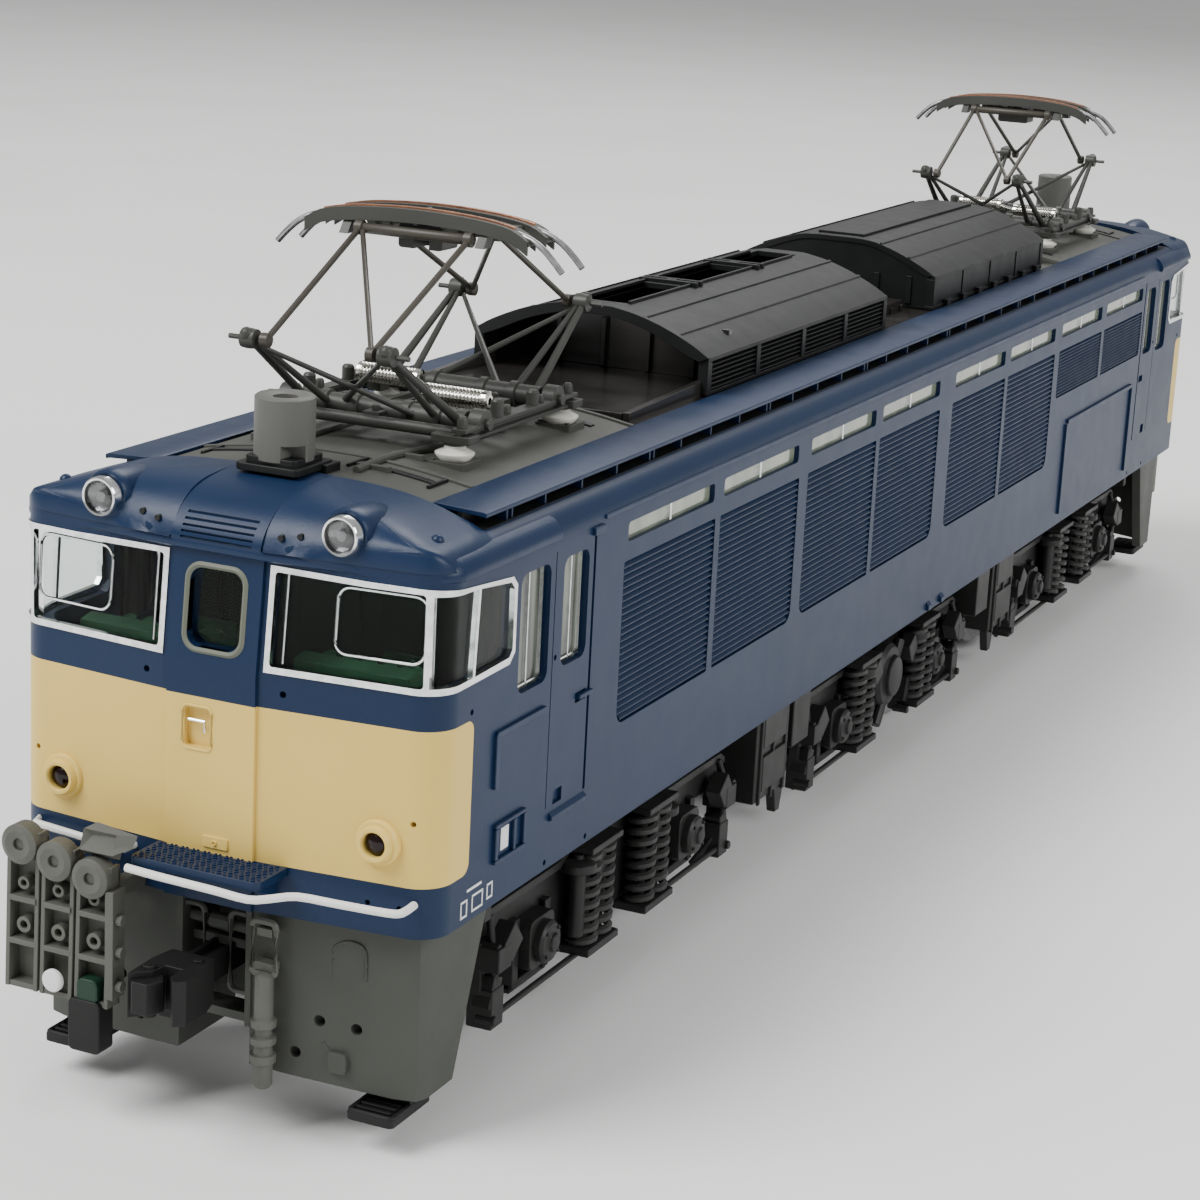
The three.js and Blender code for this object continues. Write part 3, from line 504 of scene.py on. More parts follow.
MARK_WHITE = moulded("mark_white", (0.7, 0.71, 0.7), 0.5, spread=0.04)
RUBBER = moulded("window_rubber", (0.12, 0.13, 0.1), 0.5, spread=0.08)
CAB_GREEN = moulded("cab_green", (0.02, 0.085, 0.04), 0.6, spread=0.15)
CAB_WALL = moulded("cab_wall", (0.018, 0.034, 0.022), 0.7, spread=0.12)
SILVER = metal("silver_trim", (0.8, 0.81, 0.82), 0.13)
CHROME = metal("chrome_spring", (0.86, 0.84, 0.78), 0.14)
COPPER = metal("copper_strip", (0.5, 0.24, 0.14), 0.36)
STEEL = metal("turned_steel", (0.36, 0.36, 0.37), 0.34)
BRASS = metal("turned_brass", (0.66, 0.5, 0.22), 0.3)
DIECAST = metal("diecast", (0.2, 0.205, 0.21), 0.5, 1.5)
HEADLIGHT_BACK = metal("lamp_reflector", (0.22, 0.22, 0.22), 0.3)
GLOSS_BLACK = moulded("gloss_black", (0.022, 0.02, 0.018), 0.22, spread=0.3, coat=0.4)
COIL_BLACK = moulded("coil_black", (0.03, 0.03, 0.029), 0.4, spread=0.3)
GLASS = clear("cab_glass", (0.9, 0.95, 0.92), 0.02, 1.14)
LENS = clear("lamp_lens", (0.9, 0.92, 0.93), 0.02)
RED_LENS = moulded("red_lens", (0.009, 0.002, 0.0018), 0.1, spread=0.3)
PANE = clerestory()
SIDE_PANE = streaked_pane()
GREEN_DOT = moulded("green_spot", (0.008, 0.03, 0.018), 0.5)
BOARD = moulded("board", (0.03, 0.14, 0.06), 0.5)


# ---------------------------------------------------------------- body shell
CAB = 9.5                               # brow, from the front face to the roof deck
COVE = BASE + 25.4                      # where the side starts to curve into the roof
LIP = BASE + 26                         # overhanging edge above the windows
DECK = BASE + 27.6                      # gutter floor beside the roof panels
ROOF_EDGE = BASE + 28.8
ROOF_CROWN = BASE + 29.9
WALL = 1.2
LEAN = 0.85                             # how far the front leans back from the belt to the lip
DOOR_PROUD = 0.28                       # how far the centre section stands out of the front
HEADLIGHT_X, HEADLIGHT_Z = 9.75, BASE + 28.14
TAIL_LAMP_X, TAIL_LAMP_Z = 13.1, BASE + 6.75
CORNER = 2.6                            # radius of the front corners, seen from above
SWEEP = 1.1                             # how far the front has swept back where a corner starts


def catmull(points, steps=4):
    """Points of a smooth curve through the given ones."""
    points = [Vector(p) for p in points]
    out = []
    for k in range(len(points) - 1):
        p0, p1 = points[max(k - 1, 0)], points[k]
        p2, p3 = points[k + 1], points[min(k + 2, len(points) - 1)]
        for i in range(steps):
            t = i / steps
            out.append(0.5 * (
                2 * p1 + (p2 - p0) * t + (2 * p0 - 5 * p1 + 4 * p2 - p3) * t * t
                + (3 * p1 - p0 - 3 * p2 + p3) * t ** 3
            ))
    return [tuple(p) for p in out + [points[-1]]]


def mirrored_outline(half):
    return half + [(-a, b) for a, b in reversed(half)]


def end_profile(inset, out=0.0):
    """Half outline in Y and Z of an end, from the lower edge to the crown."""
    end = FRONT - inset + out
    brow = catmull([
        (end - 0.45, LIP - inset), (end - 0.42, LIP + 0.55 - inset), (end - 0.95, LIP + 1.5 - inset),
        (end - 2.2, LIP + 2.6 - inset), (end - 3.9, LIP + 3.35 - inset), (end - 6.2, LIP + 3.75 - inset),
        (end - 9.4, LIP + 3.98 - inset),
    ])
    return [(end, BELT), (end - LEAN, LIP - 0.5 - inset)] + brow


def roof_section(inset):
    """Half outline in X and Z of the roof, from the cove to the crown."""
    side = SIDE - inset
    top = ROOF_CROWN + 0.1 - inset
    return arc(side - 2.3, COVE - inset / 2, 2.3, 12, 78, 6) + catmull([
        (side - 2.6, ROOF_EDGE - 0.9 - inset), (side - 6, ROOF_EDGE + 0.15 - inset), (8, top - 0.42),
        (4, top - 0.1), (1, top),
    ], 4)


def brow_y(z):
    """Y of the near brow at a height above the lip."""
    for (y0, z0), (y1, z1) in zip(end_profile(0), end_profile(0)[1:]):
        if z0 <= z <= z1:
            return -(y0 + (y1 - y0) * (z - z0) / (z1 - z0))
    return -FRONT + CAB


def body_form(name, inset, low):
    """The outside of the body moved inwards by the inset, as an object."""
    side, end = SIDE - inset, FRONT - inset
    corner = arc(side - CORNER, -(end - SWEEP - CORNER), CORNER, 270, 360, 12)
    half_plan = [(DOOR, -end)] + corner + [(x, -y) for x, y in reversed(corner)] + [(DOOR, end)]
    form = Solid().prism(mirrored_outline(half_plan), "z", low, ROOF_CROWN + 5).object(name)
    outline = mirrored_outline([(side, low - 1), (side, COVE - inset / 2)] + roof_section(inset))
    section = Solid().prism(outline, "y", -FRONT - 3, FRONT + 3).object("section")
    boolean(form, section, "INTERSECT")
    near = [(-y, z) for y, z in end_profile(inset)]
    far = [(-y, z) for y, z in reversed(near)]
    outline = [(-end, low - 1)] + near + far + [(end, low - 1)]
    boolean(form, Solid().prism(outline, "x", -SIDE - 2, SIDE + 2).object("profile"), "INTERSECT")
    return form


def front_lean(z):
    """How far back of its foot the near front lies at a height."""
    return LEAN * max(0.0, z - BELT) / (LIP - 0.5 - BELT)


def front_y(x, z):
    """Y of the near front surface beside the door section."""
    sweep = SWEEP * (min(abs(x), SIDE - CORNER) - DOOR) / (SIDE - CORNER - DOOR)
    past = min(max(0.0, abs(x) - (SIDE - CORNER)), CORNER)
    sweep += CORNER - math.sqrt(CORNER ** 2 - past ** 2)
    return -FRONT + sweep + front_lean(z)


def both_ends(solid):
    """A solid with its twin at the far end."""
    return Solid().add(solid).add(solid, HALF_TURN)


WINDOW_LOW, WINDOW_HIGH = BASE + 17.8, BASE + 25.15
WRAP_FROM = 12.5                        # where a front window's corner part starts
# outline of that part on the body side: (behind the front face, above the body's lower edge)
WRAP = [(1.0, 17.8), (11.0, 17.95), (11.8, 18.7), (11.8, 23.5), (11.1, 24.2), (1.0, 25.15)]


def window_band(grow):
    """Region of the front windows, grown all round: (front part, part that wraps round the corner)."""
    low, high = WINDOW_LOW - grow, WINDOW_HIGH + grow
    front = Solid()
    for hand in (-1, 1):
        a, b = sided(hand, 4.2 - grow, WRAP_FROM)
        front.box((a, -FRONT - 1, low), (b, -FRONT + 4.4, high))
    side = Solid()
    rear = [(y - FRONT + (grow if y > 5 else 0), BASE + z + (grow if z > 21 else -grow)) for y, z in WRAP]
    outline = [(-FRONT - 1, low)] + rear + [(-FRONT - 1, high)]
    for hand in (-1, 1):
        a, b = sided(hand, WRAP_FROM, SIDE + 1)
        side.prism(outline, "x", a, b)
    return front, side


# windows as (low Y or X, low Z, high Y or X, high Z)
TALL_WINDOW = (-FRONT + 12.7, BASE + 15.1, -FRONT + 17.5, BASE + 24.0)
DOOR_WINDOW = (-FRONT + 19.7, BASE + 15.5, -FRONT + 24.0, BASE + 23.8)
FRONT_DOOR_WINDOW = (-2.15, BASE + 18.7, 2.15, BASE + 24.3)
PANELS = [39.4, 58.5, 78.7, 97.7, 119.8, 138.9, 158.8, 178]     # centres, behind the front face
TALL_PANELS = 6                         # the last two are short
PANEL_HALF = 9
PANEL_TOP = BASE + 21.3
PANE_LOW, PANE_HIGH = BASE + 22.8, BASE + 24.35
PANE_HALF = 8.5


def side_panels():
    """Each louvre panel: Y of its centre, lower edge, corner radius, slats, and if its low near corner is
    round."""
    for index, centre in enumerate(PANELS):
        low, radius, slats = (BASE + 8.2, 1.2, 24) if index < TALL_PANELS else (BASE + 15.8, 0.6, 14)
        yield centre - FRONT, low, radius, slats, index % 2 == 0


def right_side_cuts():
    """Openings in the right-hand side; the left-hand side is the same turned half round."""
    solid = Solid()
    for y, low, radius, _, near_round in side_panels():
        corners = [radius, 0.2, 0.2, 0.2] if near_round else [0.2, radius, 0.2, 0.2]
        solid.prism(rounded(y - PANEL_HALF, low, y + PANEL_HALF, PANEL_TOP, corners), "x", SIDE - 0.45,
                    SIDE + 1)
        pane = rounded(y - PANE_HALF, PANE_LOW, y + PANE_HALF, PANE_HIGH, 0.35, 3)
        solid.prism(pane, "x", SIDE - 3, SIDE + 1)
    for end in (-1, 1):
        for y0, z0, y1, z1 in (TALL_WINDOW, DOOR_WINDOW):
            low, high = sided(-end, y0, y1)
            solid.prism(rounded(low, z0, high, z1, 0.9), "x", SIDE - 3, SIDE + 1)
        for y, z in ((18.8, 16.5), (25.7, 0.55), (18.6, 0.6), (5.7, 15.7)):
            solid.rod((SIDE - 0.5, end * (FRONT - y), BASE + z), (SIDE + 1, end * (FRONT - y), BASE + z),
                      0.24, 8)
        # shut lines of the cab door, the step at its foot and the recess of its handle
        for y0, y1, z0, z1, depth in (
            (24.75, 25.15, 4.6, 24.8, 0.28), (18.25, 18.38, 4.9, 24.6, 0.05),
            (19.5, 21.0, 4.9, 6.0, 0.3), (22.6, 24.4, 12.0, 12.8, 0.3),
        ):
            low, high = sided(end, FRONT - y0, FRONT - y1)
            solid.box((SIDE - depth, low, BASE + z0), (SIDE + 1, high, BASE + z1))
    return solid


def front_cuts():
    """Openings in the near front besides the big windows."""
    solid = Solid()
    solid.prism(rounded(*FRONT_DOOR_WINDOW, 1.0), "y", -FRONT - 2, -FRONT + 4)
    for hand in (-1, 1):
        for x, z, rear, radius in ((HEADLIGHT_X, HEADLIGHT_Z, 6, 1.45), (TAIL_LAMP_X, TAIL_LAMP_Z, 3, 1.15)):
            solid.rod((hand * x, -FRONT - 2, z), (hand * x, -FRONT + rear, z), radius, 32)
        for x, z, r in ((15.6, 8.44, 0.22), (5.6, 16.3, 0.26), (6.4, 27.6, 0.24), (5.0, 27.3, 0.24),
                        (12.4, 2.2, 0.2),
                        (14.8, 2.1, 0.24)):
            solid.rod((hand * x, -FRONT - 2, BASE + z), (hand * x, -FRONT + 2.3, BASE + z), r, 10)
    # brow vent, slots in the centre section
    for k in range(5):
        z = LIP + 0.3 + 0.4 * k
        solid.box((-2.9, -FRONT - 2, z), (2.9, brow_y(z) - DOOR_PROUD + 0.22, z + 0.16))
    # recessed handle box of the door
    solid.prism(rounded(-2.1, BASE + 11.4, 0.0, BASE + 14.3, 0.3), "y", -FRONT - 1, -FRONT + 0.3)
    return solid


def front_relief():
    """The centre section, with the door, that stands proud of the near front."""
    profile = [(-y, z) for y, z in end_profile(0, DOOR_PROUD)]
    rear = [(-FRONT + 9, ROOF_CROWN + 0.05), (-FRONT + 9, BASE)]
    return Solid().prism([(-FRONT - DOOR_PROUD, BASE)] + profile[:-1] + rear, "x", -DOOR, DOOR)


def lamp_rims():
    """Raised rims round the tail lamps."""
    solid = Solid()
    for hand in (-1, 1):
        y = front_y(TAIL_LAMP_X, BASE)
        solid.ring([(0.9, 0.6), (0.9, -0.75), (1.0, -0.9), (1.2, -0.9), (1.32, -0.7), (1.36, -0.45),
                    (1.6, -0.42),
                    (1.7, -0.25), (1.7, 0.6)], (hand * TAIL_LAMP_X, y, TAIL_LAMP_Z), (0, 1, 0), 40)
    return solid


def side_relief():
    """Ribs, frames and the gutter on the right-hand side."""
    solid = Solid()

    def bar(y0, y1, z0, z1, out=0.32):
        solid.box((SIDE - 0.4, y0 - FRONT, BASE + z0), (SIDE + out, y1 - FRONT, BASE + z1))
    bar(9.3, 9.85, 9.0, 13.0, 0.28)
    solid.prism([(9.3 - FRONT, BASE + 13.0), (9.85 - FRONT, BASE + 12.75), (17.2 - FRONT, BASE + 12.75),
                 (17.5 - FRONT, BASE + 13.0), (17.2 - FRONT, BASE + 13.25), (9.5 - FRONT, BASE + 13.25)],
                "x", SIDE - 0.4, SIDE + 0.28)
    # two-part plate box: its foot and head, then its three uprights
    for y0, y1, z0, z1 in ((9.7, 14.6, 3.2, 3.5), (9.7, 14.6, 5.9, 6.2), (9.7, 10.15, 3.52, 5.88),
                           (12.6, 12.95, 3.52, 5.88), (14.2, 14.6, 3.52, 5.88)):
        bar(y0, y1, z0, z1)
    # sloping sill of the cab door
    solid.prism([(SIDE - 0.3, BASE + 3.6), (SIDE + 0.32, BASE + 3.85), (SIDE + 0.32, BASE + 4.15),
                 (SIDE - 0.3, BASE + 4.75)], "y", -FRONT + 18.9, -FRONT + 25.0)
    # door handle, rain hood at the top of the shut line
    bar(22.9, 25.3, 12.25, 12.6, 0.3)
    bar(24.3, 26.2, 24.6, 25.2, 0.3)
    # inverted U frame near the far cab
    for y0, y1, z0, z1 in ((155.0, 155.5, 1.3, 12.0), (184.5, 185.0, 1.3, 12.0), (155.6, 184.4, 12.0, 12.5)):
        bar(y0, y1, z0, z1, 0.3)
    for y in (107.9, 112.0):
        solid.prism([(SIDE - 0.3, BASE + 0.2), (SIDE + 0.34, BASE + 0.2), (SIDE + 0.34, BASE + 0.7),
                     (SIDE - 0.3, BASE + 1.5)], "y", y - FRONT - 0.5, y - FRONT + 0.5)
    # rain gutter along the cove
    solid.box((SIDE - 0.5, -FRONT + 26.5, COVE + 0.05), (SIDE + 0.14, FRONT - 26.5, COVE + 0.4))
    return solid


def body_shell():
    shell = body_form("body_shell_painted", 0, BASE)
    boolean(shell, both_ends(front_relief()).object("relief"), "UNION")
    inner = body_form("inner", WALL, BASE - 1)
    deck_inner = Solid().box((-SIDE, -FRONT + CAB - WALL, DECK - WALL), (SIDE, FRONT - CAB + WALL, DECK + 8))
    cut(inner, deck_inner)
    boolean(shell, inner, "DIFFERENCE")
    cut(shell, Solid().box((-SIDE + 1.55, -FRONT + CAB, DECK), (SIDE - 1.55, FRONT - CAB, DECK + 8)))
    cut(shell, *[both_ends(cutter) for cutter in (*window_band(0), front_cuts(), right_side_cuts())])
    return shell


CORNER_LINE = arc(SIDE - CORNER, -(FRONT - SWEEP - CORNER), CORNER, 270, 360, 12)


def brow_rim():
    """Overhanging lip above the cab windows, from one cab door round the front to the other."""
    right = [(SIDE, -FRONT + 18.4)] + [(SIDE, -FRONT + 18 - k) for k in range(12)]
    right += CORNER_LINE[::-1] + [(DOOR + 0.5, -FRONT)]
    plan = right + [(-x, y) for x, y in reversed(right)]
    sections = []
    for k, (x, y) in enumerate(plan):
        before, after = Vector(plan[max(k - 1, 0)]), Vector(plan[min(k + 1, len(plan) - 1)])
        along = (after - before).normalized()
        outward = Vector((-along.y, along.x))
        facing = max(0.0, -outward.y)
        back = 0.45 * facing
        lip = [(-0.9, LIP - 0.45), (0.1, LIP - 0.5), (0.3, LIP - 0.38), (0.34, LIP - 0.1), (0.26, LIP + 0.2),
               (0.08, LIP + 0.55), (-0.35, LIP + 1.0), (-1.2, LIP + 1.3)]
        sections.append([(x + outward.x * (n - back), y + outward.y * (n - back), z) for n, z in lip])
    return Solid().rings(sections)


BROW_STEPS = (0.0, 0.025, 0.06, 0.1, 0.15, 0.21, 0.29, 0.38, 0.5, 0.62, 0.75, 0.88, 1.0)


def brow_cover():
    """Smooth skin over the brow beside the centre section, blending the front's curve with the roof's."""
    front_line = end_profile(0)[2:]
    roof_line = [(SIDE, COVE)] + roof_section(0)
    flat = [DOOR + 0.05 + k * (SIDE - CORNER - DOOR) / 12 for k in range(12)]
    plan = [(x, -FRONT + SWEEP * (x - DOOR) / (SIDE - CORNER - DOOR)) for x in flat]
    plan += CORNER_LINE
    plan += [(SIDE, -FRONT + y) for y in (4.4, 5.2, 6.2, 7.2, 8.2, 8.8, 9.4)]
    sections = []
    for k, (x, y) in enumerate(plan):
        share = k / (len(plan) - 1)
        target = Vector((DOOR + 0.05 + (SIDE - 0.3 - DOOR) * share, -FRONT + 9.42))
        before, after = Vector(plan[max(k - 1, 0)]), Vector(plan[min(k + 1, len(plan) - 1)])
        along = (after - before).normalized()
        outward = Vector((along.y, -along.x))
        start = Vector((x, y)) + outward * 0.07
        lift = 0.24 * (1 - min(1.0, max(0.0, (y + FRONT - 5) / 4)) * min(1.0, max(0.0, share * 4 - 2.6)))

        def height(p):
            a, b = height_on(front_line, -p.y), height_on(roof_line, p.x)
            return min(a, b) - max(1.0 - abs(a - b), 0) ** 2 / 4 + lift
        rows = [start + (target - start) * t for t in BROW_STEPS]
        edge = height(rows[0])
        section = [(*start, LIP + 0.25), (*start, LIP + 0.25 + (edge - LIP - 0.25) * 0.75)]
        section += [(*p, height(p)) for p in rows[1:]]
        section.append((*rows[-1], height(rows[-1]) - 0.8))
        section.append((*(start + (target - start) * 0.12), LIP + 0.25))
        sections.append(section)
    skin = Solid().rings(sections)
    if skin.bm.calc_volume(signed=True) < 0:
        bmesh.ops.reverse_faces(skin.bm, faces=skin.bm.faces[:])
    return skin.mirrored()


piece("body_shell_painted", body_shell(), PAINT, slot="navy_paint", replaces=["body_shell"], bevel=0.09,
      smooth=28)
at_both_ends("brow_cover_END", brow_cover(), NAVY_PLASTIC, slot="navy_paint", smooth=50)
brow_dots = Solid()
for hand in (-1, 1):
    for x, z, y in ((6.4, 27.55, 0.62), (5.0, 27.3, 0.4)):
        brow_dots.rod((hand * x, -FRONT + y, BASE + z), (hand * x, -FRONT + y + 1.2, BASE + z), 0.22, 12)
at_both_ends("brow_dots_END", brow_dots, VENT_BLACK, slot="navy_paint")
at_both_ends("brow_rim_END", brow_rim(), NAVY_PLASTIC, slot="navy_paint", smooth=45)
piece("body_ribs", both_ends(side_relief()), NAVY_PLASTIC, slot="navy_paint", bevel=0.08)
piece("tail_lamp_rims", both_ends(lamp_rims()), CREAM_PLASTIC, slot="cream_paint", smooth=25)


# ---------------------------------------------------------------- side louvres and clerestory panes
def louvres():
    """Every slat of the right-hand side, upper edge out, lower edge tucked in."""
    solid = Solid()
    for y, low, radius, slats, near_round in side_panels():
        y0, y1 = y - PANEL_HALF + 0.12, y + PANEL_HALF - 0.12
        pitch = (PANEL_TOP - low - 0.3) / slats
        for k in range(slats):
            z = low + 0.15 + pitch * k
            short = max(0.0, radius - (z - low))
            trim = radius - math.sqrt(max(0.0, radius ** 2 - short ** 2))
            a, b = (y0 + trim, y1) if near_round else (y0, y1 - trim)
            solid.prism([(SIDE - 0.42, z + 0.04), (SIDE - 0.42, z + pitch * 0.95),
                         (SIDE - 0.34, z + pitch * 0.98),
                         (SIDE - 0.02, z + pitch * 0.42), (SIDE - 0.04, z + pitch * 0.22)], "y", a, b)
    return solid


# the slats take the body's navy made darker, as painted shade
piece("side_louvres", both_ends(louvres()), NAVY_SHADOW, slot="navy_paint", smooth=20)

panes = Solid()
pane_bars = Solid()
for centre in PANELS:
    y = centre - FRONT
    outline = rounded(y - PANE_HALF - 0.2, PANE_LOW - 0.1, y + PANE_HALF + 0.2, PANE_HIGH + 0.1, 0.3, 3)
    panes.prism(outline, "x", SIDE - 0.62, SIDE - 0.45)
    pane_bars.box((SIDE - 0.47, y - 0.16, PANE_LOW), (SIDE - 0.2, y + 0.16, PANE_HIGH))
panes_left = panes.turned()
piece("clerestory_panes_right", panes, PANE, slot="clear_glazing", replaces=["side_glazing_right"])
piece("clerestory_panes_left", panes_left, PANE, slot="clear_glazing", replaces=["side_glazing_left"])
piece("clerestory_frames", both_ends(pane_bars), SILVER, slot="bright_trim")


# ---------------------------------------------------------------- cab windows, lamps and front fittings
def keep_inside(form, regions):
    """What of the form lies in the near end's window band."""
    kept = None
    for region in regions:
        part = form.copy()
        part.data = form.data.copy()
        bpy.context.scene.collection.objects.link(part)
        boolean(part, region.object("region"), "INTERSECT")
        if kept is None:
            kept = part
        else:
            boolean(kept, part, "UNION")
    discard(form)
    return kept


def hollow_form(name, outer, inner):
    """A skin between two insets of the body's outside."""
    form = body_form(name, outer, BASE + 10)
    boolean(form, body_form("core", inner, BASE + 9), "DIFFERENCE")
    return form


def window_frames():
    """Bright frames of the wrap-round cab windows, with their corner posts."""
    frames = keep_inside(hollow_form("frames", -0.1, 0.34), window_band(0.08))
    front = Solid()
    corner = Solid()
    rear = Solid()
    for hand in (-1, 1):
        a, b = sided(hand, 4.55, 16.0)
        front.prism(rounded(a, BASE + 18.2, b, BASE + 24.82, 0.25, 3), "y", -FRONT - 2, -FRONT + 3.4)
        a, b = sided(hand, 16.35, 19)
        corner.prism([(-FRONT - 1, BASE + 18.2), (-FRONT + 5.4, BASE + 18.25), (-FRONT + 5.9, BASE + 24.5),
                      (-FRONT - 1, BASE + 24.8)], "x", a, b)
        rear.prism([(-FRONT + 5.75, BASE + 18.25), (-FRONT + 11.0, BASE + 18.4),
                    (-FRONT + 11.45, BASE + 18.9),
                    (-FRONT + 11.45, BASE + 23.3), (-FRONT + 10.9, BASE + 23.9),
                    (-FRONT + 6.25, BASE + 24.45)], "x", a, b)
    cut(frames, front, corner, rear)
    return taken(frames)


def sliding_pane_frames():
    """Thin rounded frame on the outer part of each front pane, and the bar beside it."""
    solid = Solid()
    for hand in (-1, 1):
        points = [(hand * x, front_y(x, z) + 0.12, z) for x,
                  z in rounded(9.2, BASE + 19.75, 15.8, BASE + 24.4, 0.9)]
        solid.tube(points, 0.13, 6, closed=True)
        solid.tube([(hand * 5.3, front_y(5.3, z) + 0.3, z) for z in (BASE + 18.4, BASE + 24.7)], 0.1, 6)
    return solid


def cab_glass():
    """Glass of the cab windows and of the front door."""
    solid = taken(keep_inside(hollow_form("glass", 0.28, 0.62), window_band(0.0)))
    x0, z0, x1, z1 = FRONT_DOOR_WINDOW
    return solid.prism(rounded(x0 - 0.2, z0 - 0.2, x1 + 0.2, z1 + 0.2, 1.0), "y", -FRONT + 0.6, -FRONT + 1.0)


def side_panes():
    """Panes of the tall window and the cab door, on both sides."""
    solid = Solid()
    for hand in (-1, 1):
        for y0, z0, y1, z1 in (TALL_WINDOW, DOOR_WINDOW):
            a, b = sided(hand, SIDE - 0.85, SIDE - 0.6)
            solid.prism(rounded(y0 - 0.3, z0 - 0.3, y1 + 0.3, z1 + 0.3, 0.9), "x", a, b)
    return solid


def side_pane_bars():
    """Glazing bars just outside those panes."""
    solid = Solid()
    for hand in (-1, 1):
        for (y0, z0, y1, z1), split in ((TALL_WINDOW, 0.45), (DOOR_WINDOW, 0.5)):
            y = y0 + (y1 - y0) * split
            a, b = sided(hand, SIDE - 0.62, SIDE - 0.45)
            solid.box((a, y - 0.07, z0 + 0.1), (b, y + 0.07, z1 - 0.1))
            solid.box((a, y1 - 0.38, z0 + 0.1), (b, y1 - 0.3, z1 - 0.1))
            solid.box((a, y0 + 0.1, z0 + 0.3), (b, y1 - 0.1, z0 + 0.45))
    return solid


at_both_ends("cab_window_frames_END", window_frames(), SILVER, slot="bright_trim", bevel=0.05, smooth=25)
at_both_ends("sliding_pane_frames_END", sliding_pane_frames(), SILVER, slot="bright_trim")
at_both_ends("cab_glass_END", cab_glass(), GLASS, slot="clear_glazing", replaces=["cab_glazing_END"])
at_both_ends("side_panes_END", side_panes(), SIDE_PANE, slot="clear_glazing")
at_both_ends("side_pane_bars_END", side_pane_bars(), SILVER, slot="bright_trim")

# rubber frame of the front door window
x0, z0, x1, z1 = FRONT_DOOR_WINDOW
seal = Solid()
sections = []
outer_line, inner_line = rounded(x0 - 0.42, z0 - 0.42, x1 + 0.42, z1 + 0.42, 1.3,
                                 8), rounded(x0, z0, x1, z1, 0.95, 8)
for (ox, oz), (ix, iz) in zip(outer_line, inner_line):
    mx, mz = (ox + ix) / 2, (oz + iz) / 2
    y = -FRONT - DOOR_PROUD + front_lean(mz)
    sections.append([(ox, y + 0.25, oz), (ox, y - 0.02, oz), (mx, y - 0.17, mz), (ix, y - 0.04, iz),
                     (ix, y + 0.6, iz)])
at_both_ends("door_window_rubber_END", seal.loop(sections), RUBBER, slot="roof_grey", smooth=50)

door_furniture = Solid()
door_furniture.prism(rounded(-0.43, BASE + 4.2, 1.67, BASE + 5.05, 0.12, 2), "y", -FRONT - 0.42, -FRONT)
door_furniture.ring([(0.12, 0), (0.12, -0.3), (0.2, -0.3), (0.2, 0)], (0.62, -FRONT - 0.25, BASE + 4.62),
                    (0, 1, 0), 12)
frame_line = rounded(-2.25, BASE + 11.25, 0.15, BASE + 14.45, 0.4, 3)
door_furniture.tube([(x, -FRONT - 0.3, z) for x, z in frame_line], 0.09, 6, closed=True)
at_both_ends("door_plate_END", door_furniture, CREAM_PLASTIC, slot="cream_paint", bevel=0.04)
handle = Solid().tube([(-1.75, -FRONT + 0.1, BASE + 13.35), (-1.75, -FRONT - 0.22, BASE + 13.35),
                       (-0.45, -FRONT - 0.22, BASE + 13.35), (-0.45, -FRONT - 0.22, BASE + 12.6)], 0.13, 8)
at_both_ends("door_handle_END", handle, SILVER, slot="bright_trim")

headlights = Solid()
lenses = Solid()
reflectors = Solid()
for hand in (-1, 1):
    centre = (hand * HEADLIGHT_X, -FRONT + 0.5, HEADLIGHT_Z)
    headlights.ring([(1.12, 2.2), (1.12, -0.1), (1.2, -0.32), (1.34, -0.36), (1.44, -0.2), (1.44, 2.2)],
                    centre, (0, 1, 0), 48)
    lenses.lathe([(1.11, -0.02), (1.1, -0.05), (1.0, -0.12), (0.7, -0.22), (0.35, -0.27), (0.03, -0.28)],
                 centre, (0, 1, 0), 40)
    reflectors.lathe([(1.12, 0.3), (1.08, 0.08), (0.8, 0.2), (0.4, 0.27), (0.36, 0.05), (0.02, 0.0)], centre,
                     (0, 1, 0), 32)
at_both_ends("headlight_bezels_END", headlights, SILVER, slot="bright_trim", replaces=["headlight_unit_END"])
at_both_ends("headlight_lenses_END", lenses, LENS, slot="clear_glazing")
at_both_ends("headlight_reflectors_END", reflectors, HEADLIGHT_BACK, slot="bright_trim")

tail_lenses = Solid()
for hand in (-1, 1):
    tail_lenses.lathe([(0.88, 1.4), (0.88, -0.3), (0.75, -0.48), (0.45, -0.62), (0.03, -0.68)],
                      (hand * TAIL_LAMP_X, front_y(TAIL_LAMP_X, BASE), TAIL_LAMP_Z), (0, 1, 0), 32)
at_both_ends("tail_lamp_lenses_END", tail_lenses, RED_LENS, slot="red_lens", replaces=["tail_lamp_unit_END"])


def lamp_pods():
    """Rounded housings that blend each headlight into the brow."""
    solid = Solid()
    for hand in (-1, 1):
        solid.ring([(1.47, 1.1), (1.66, 1.05), (1.78, 1.3), (1.8, 2.2), (1.7, 4.0), (1.4, 5.6), (0.9, 6.8),
                    (0.4, 6.9),
                    (0.4, 3.4), (1.47, 3.3)], (hand * HEADLIGHT_X, -FRONT, HEADLIGHT_Z), (0, 1, 0), 40)
    return solid


at_both_ends("headlight_pods_END", lamp_pods(), NAVY_PLASTIC, slot="navy_paint", smooth=50)


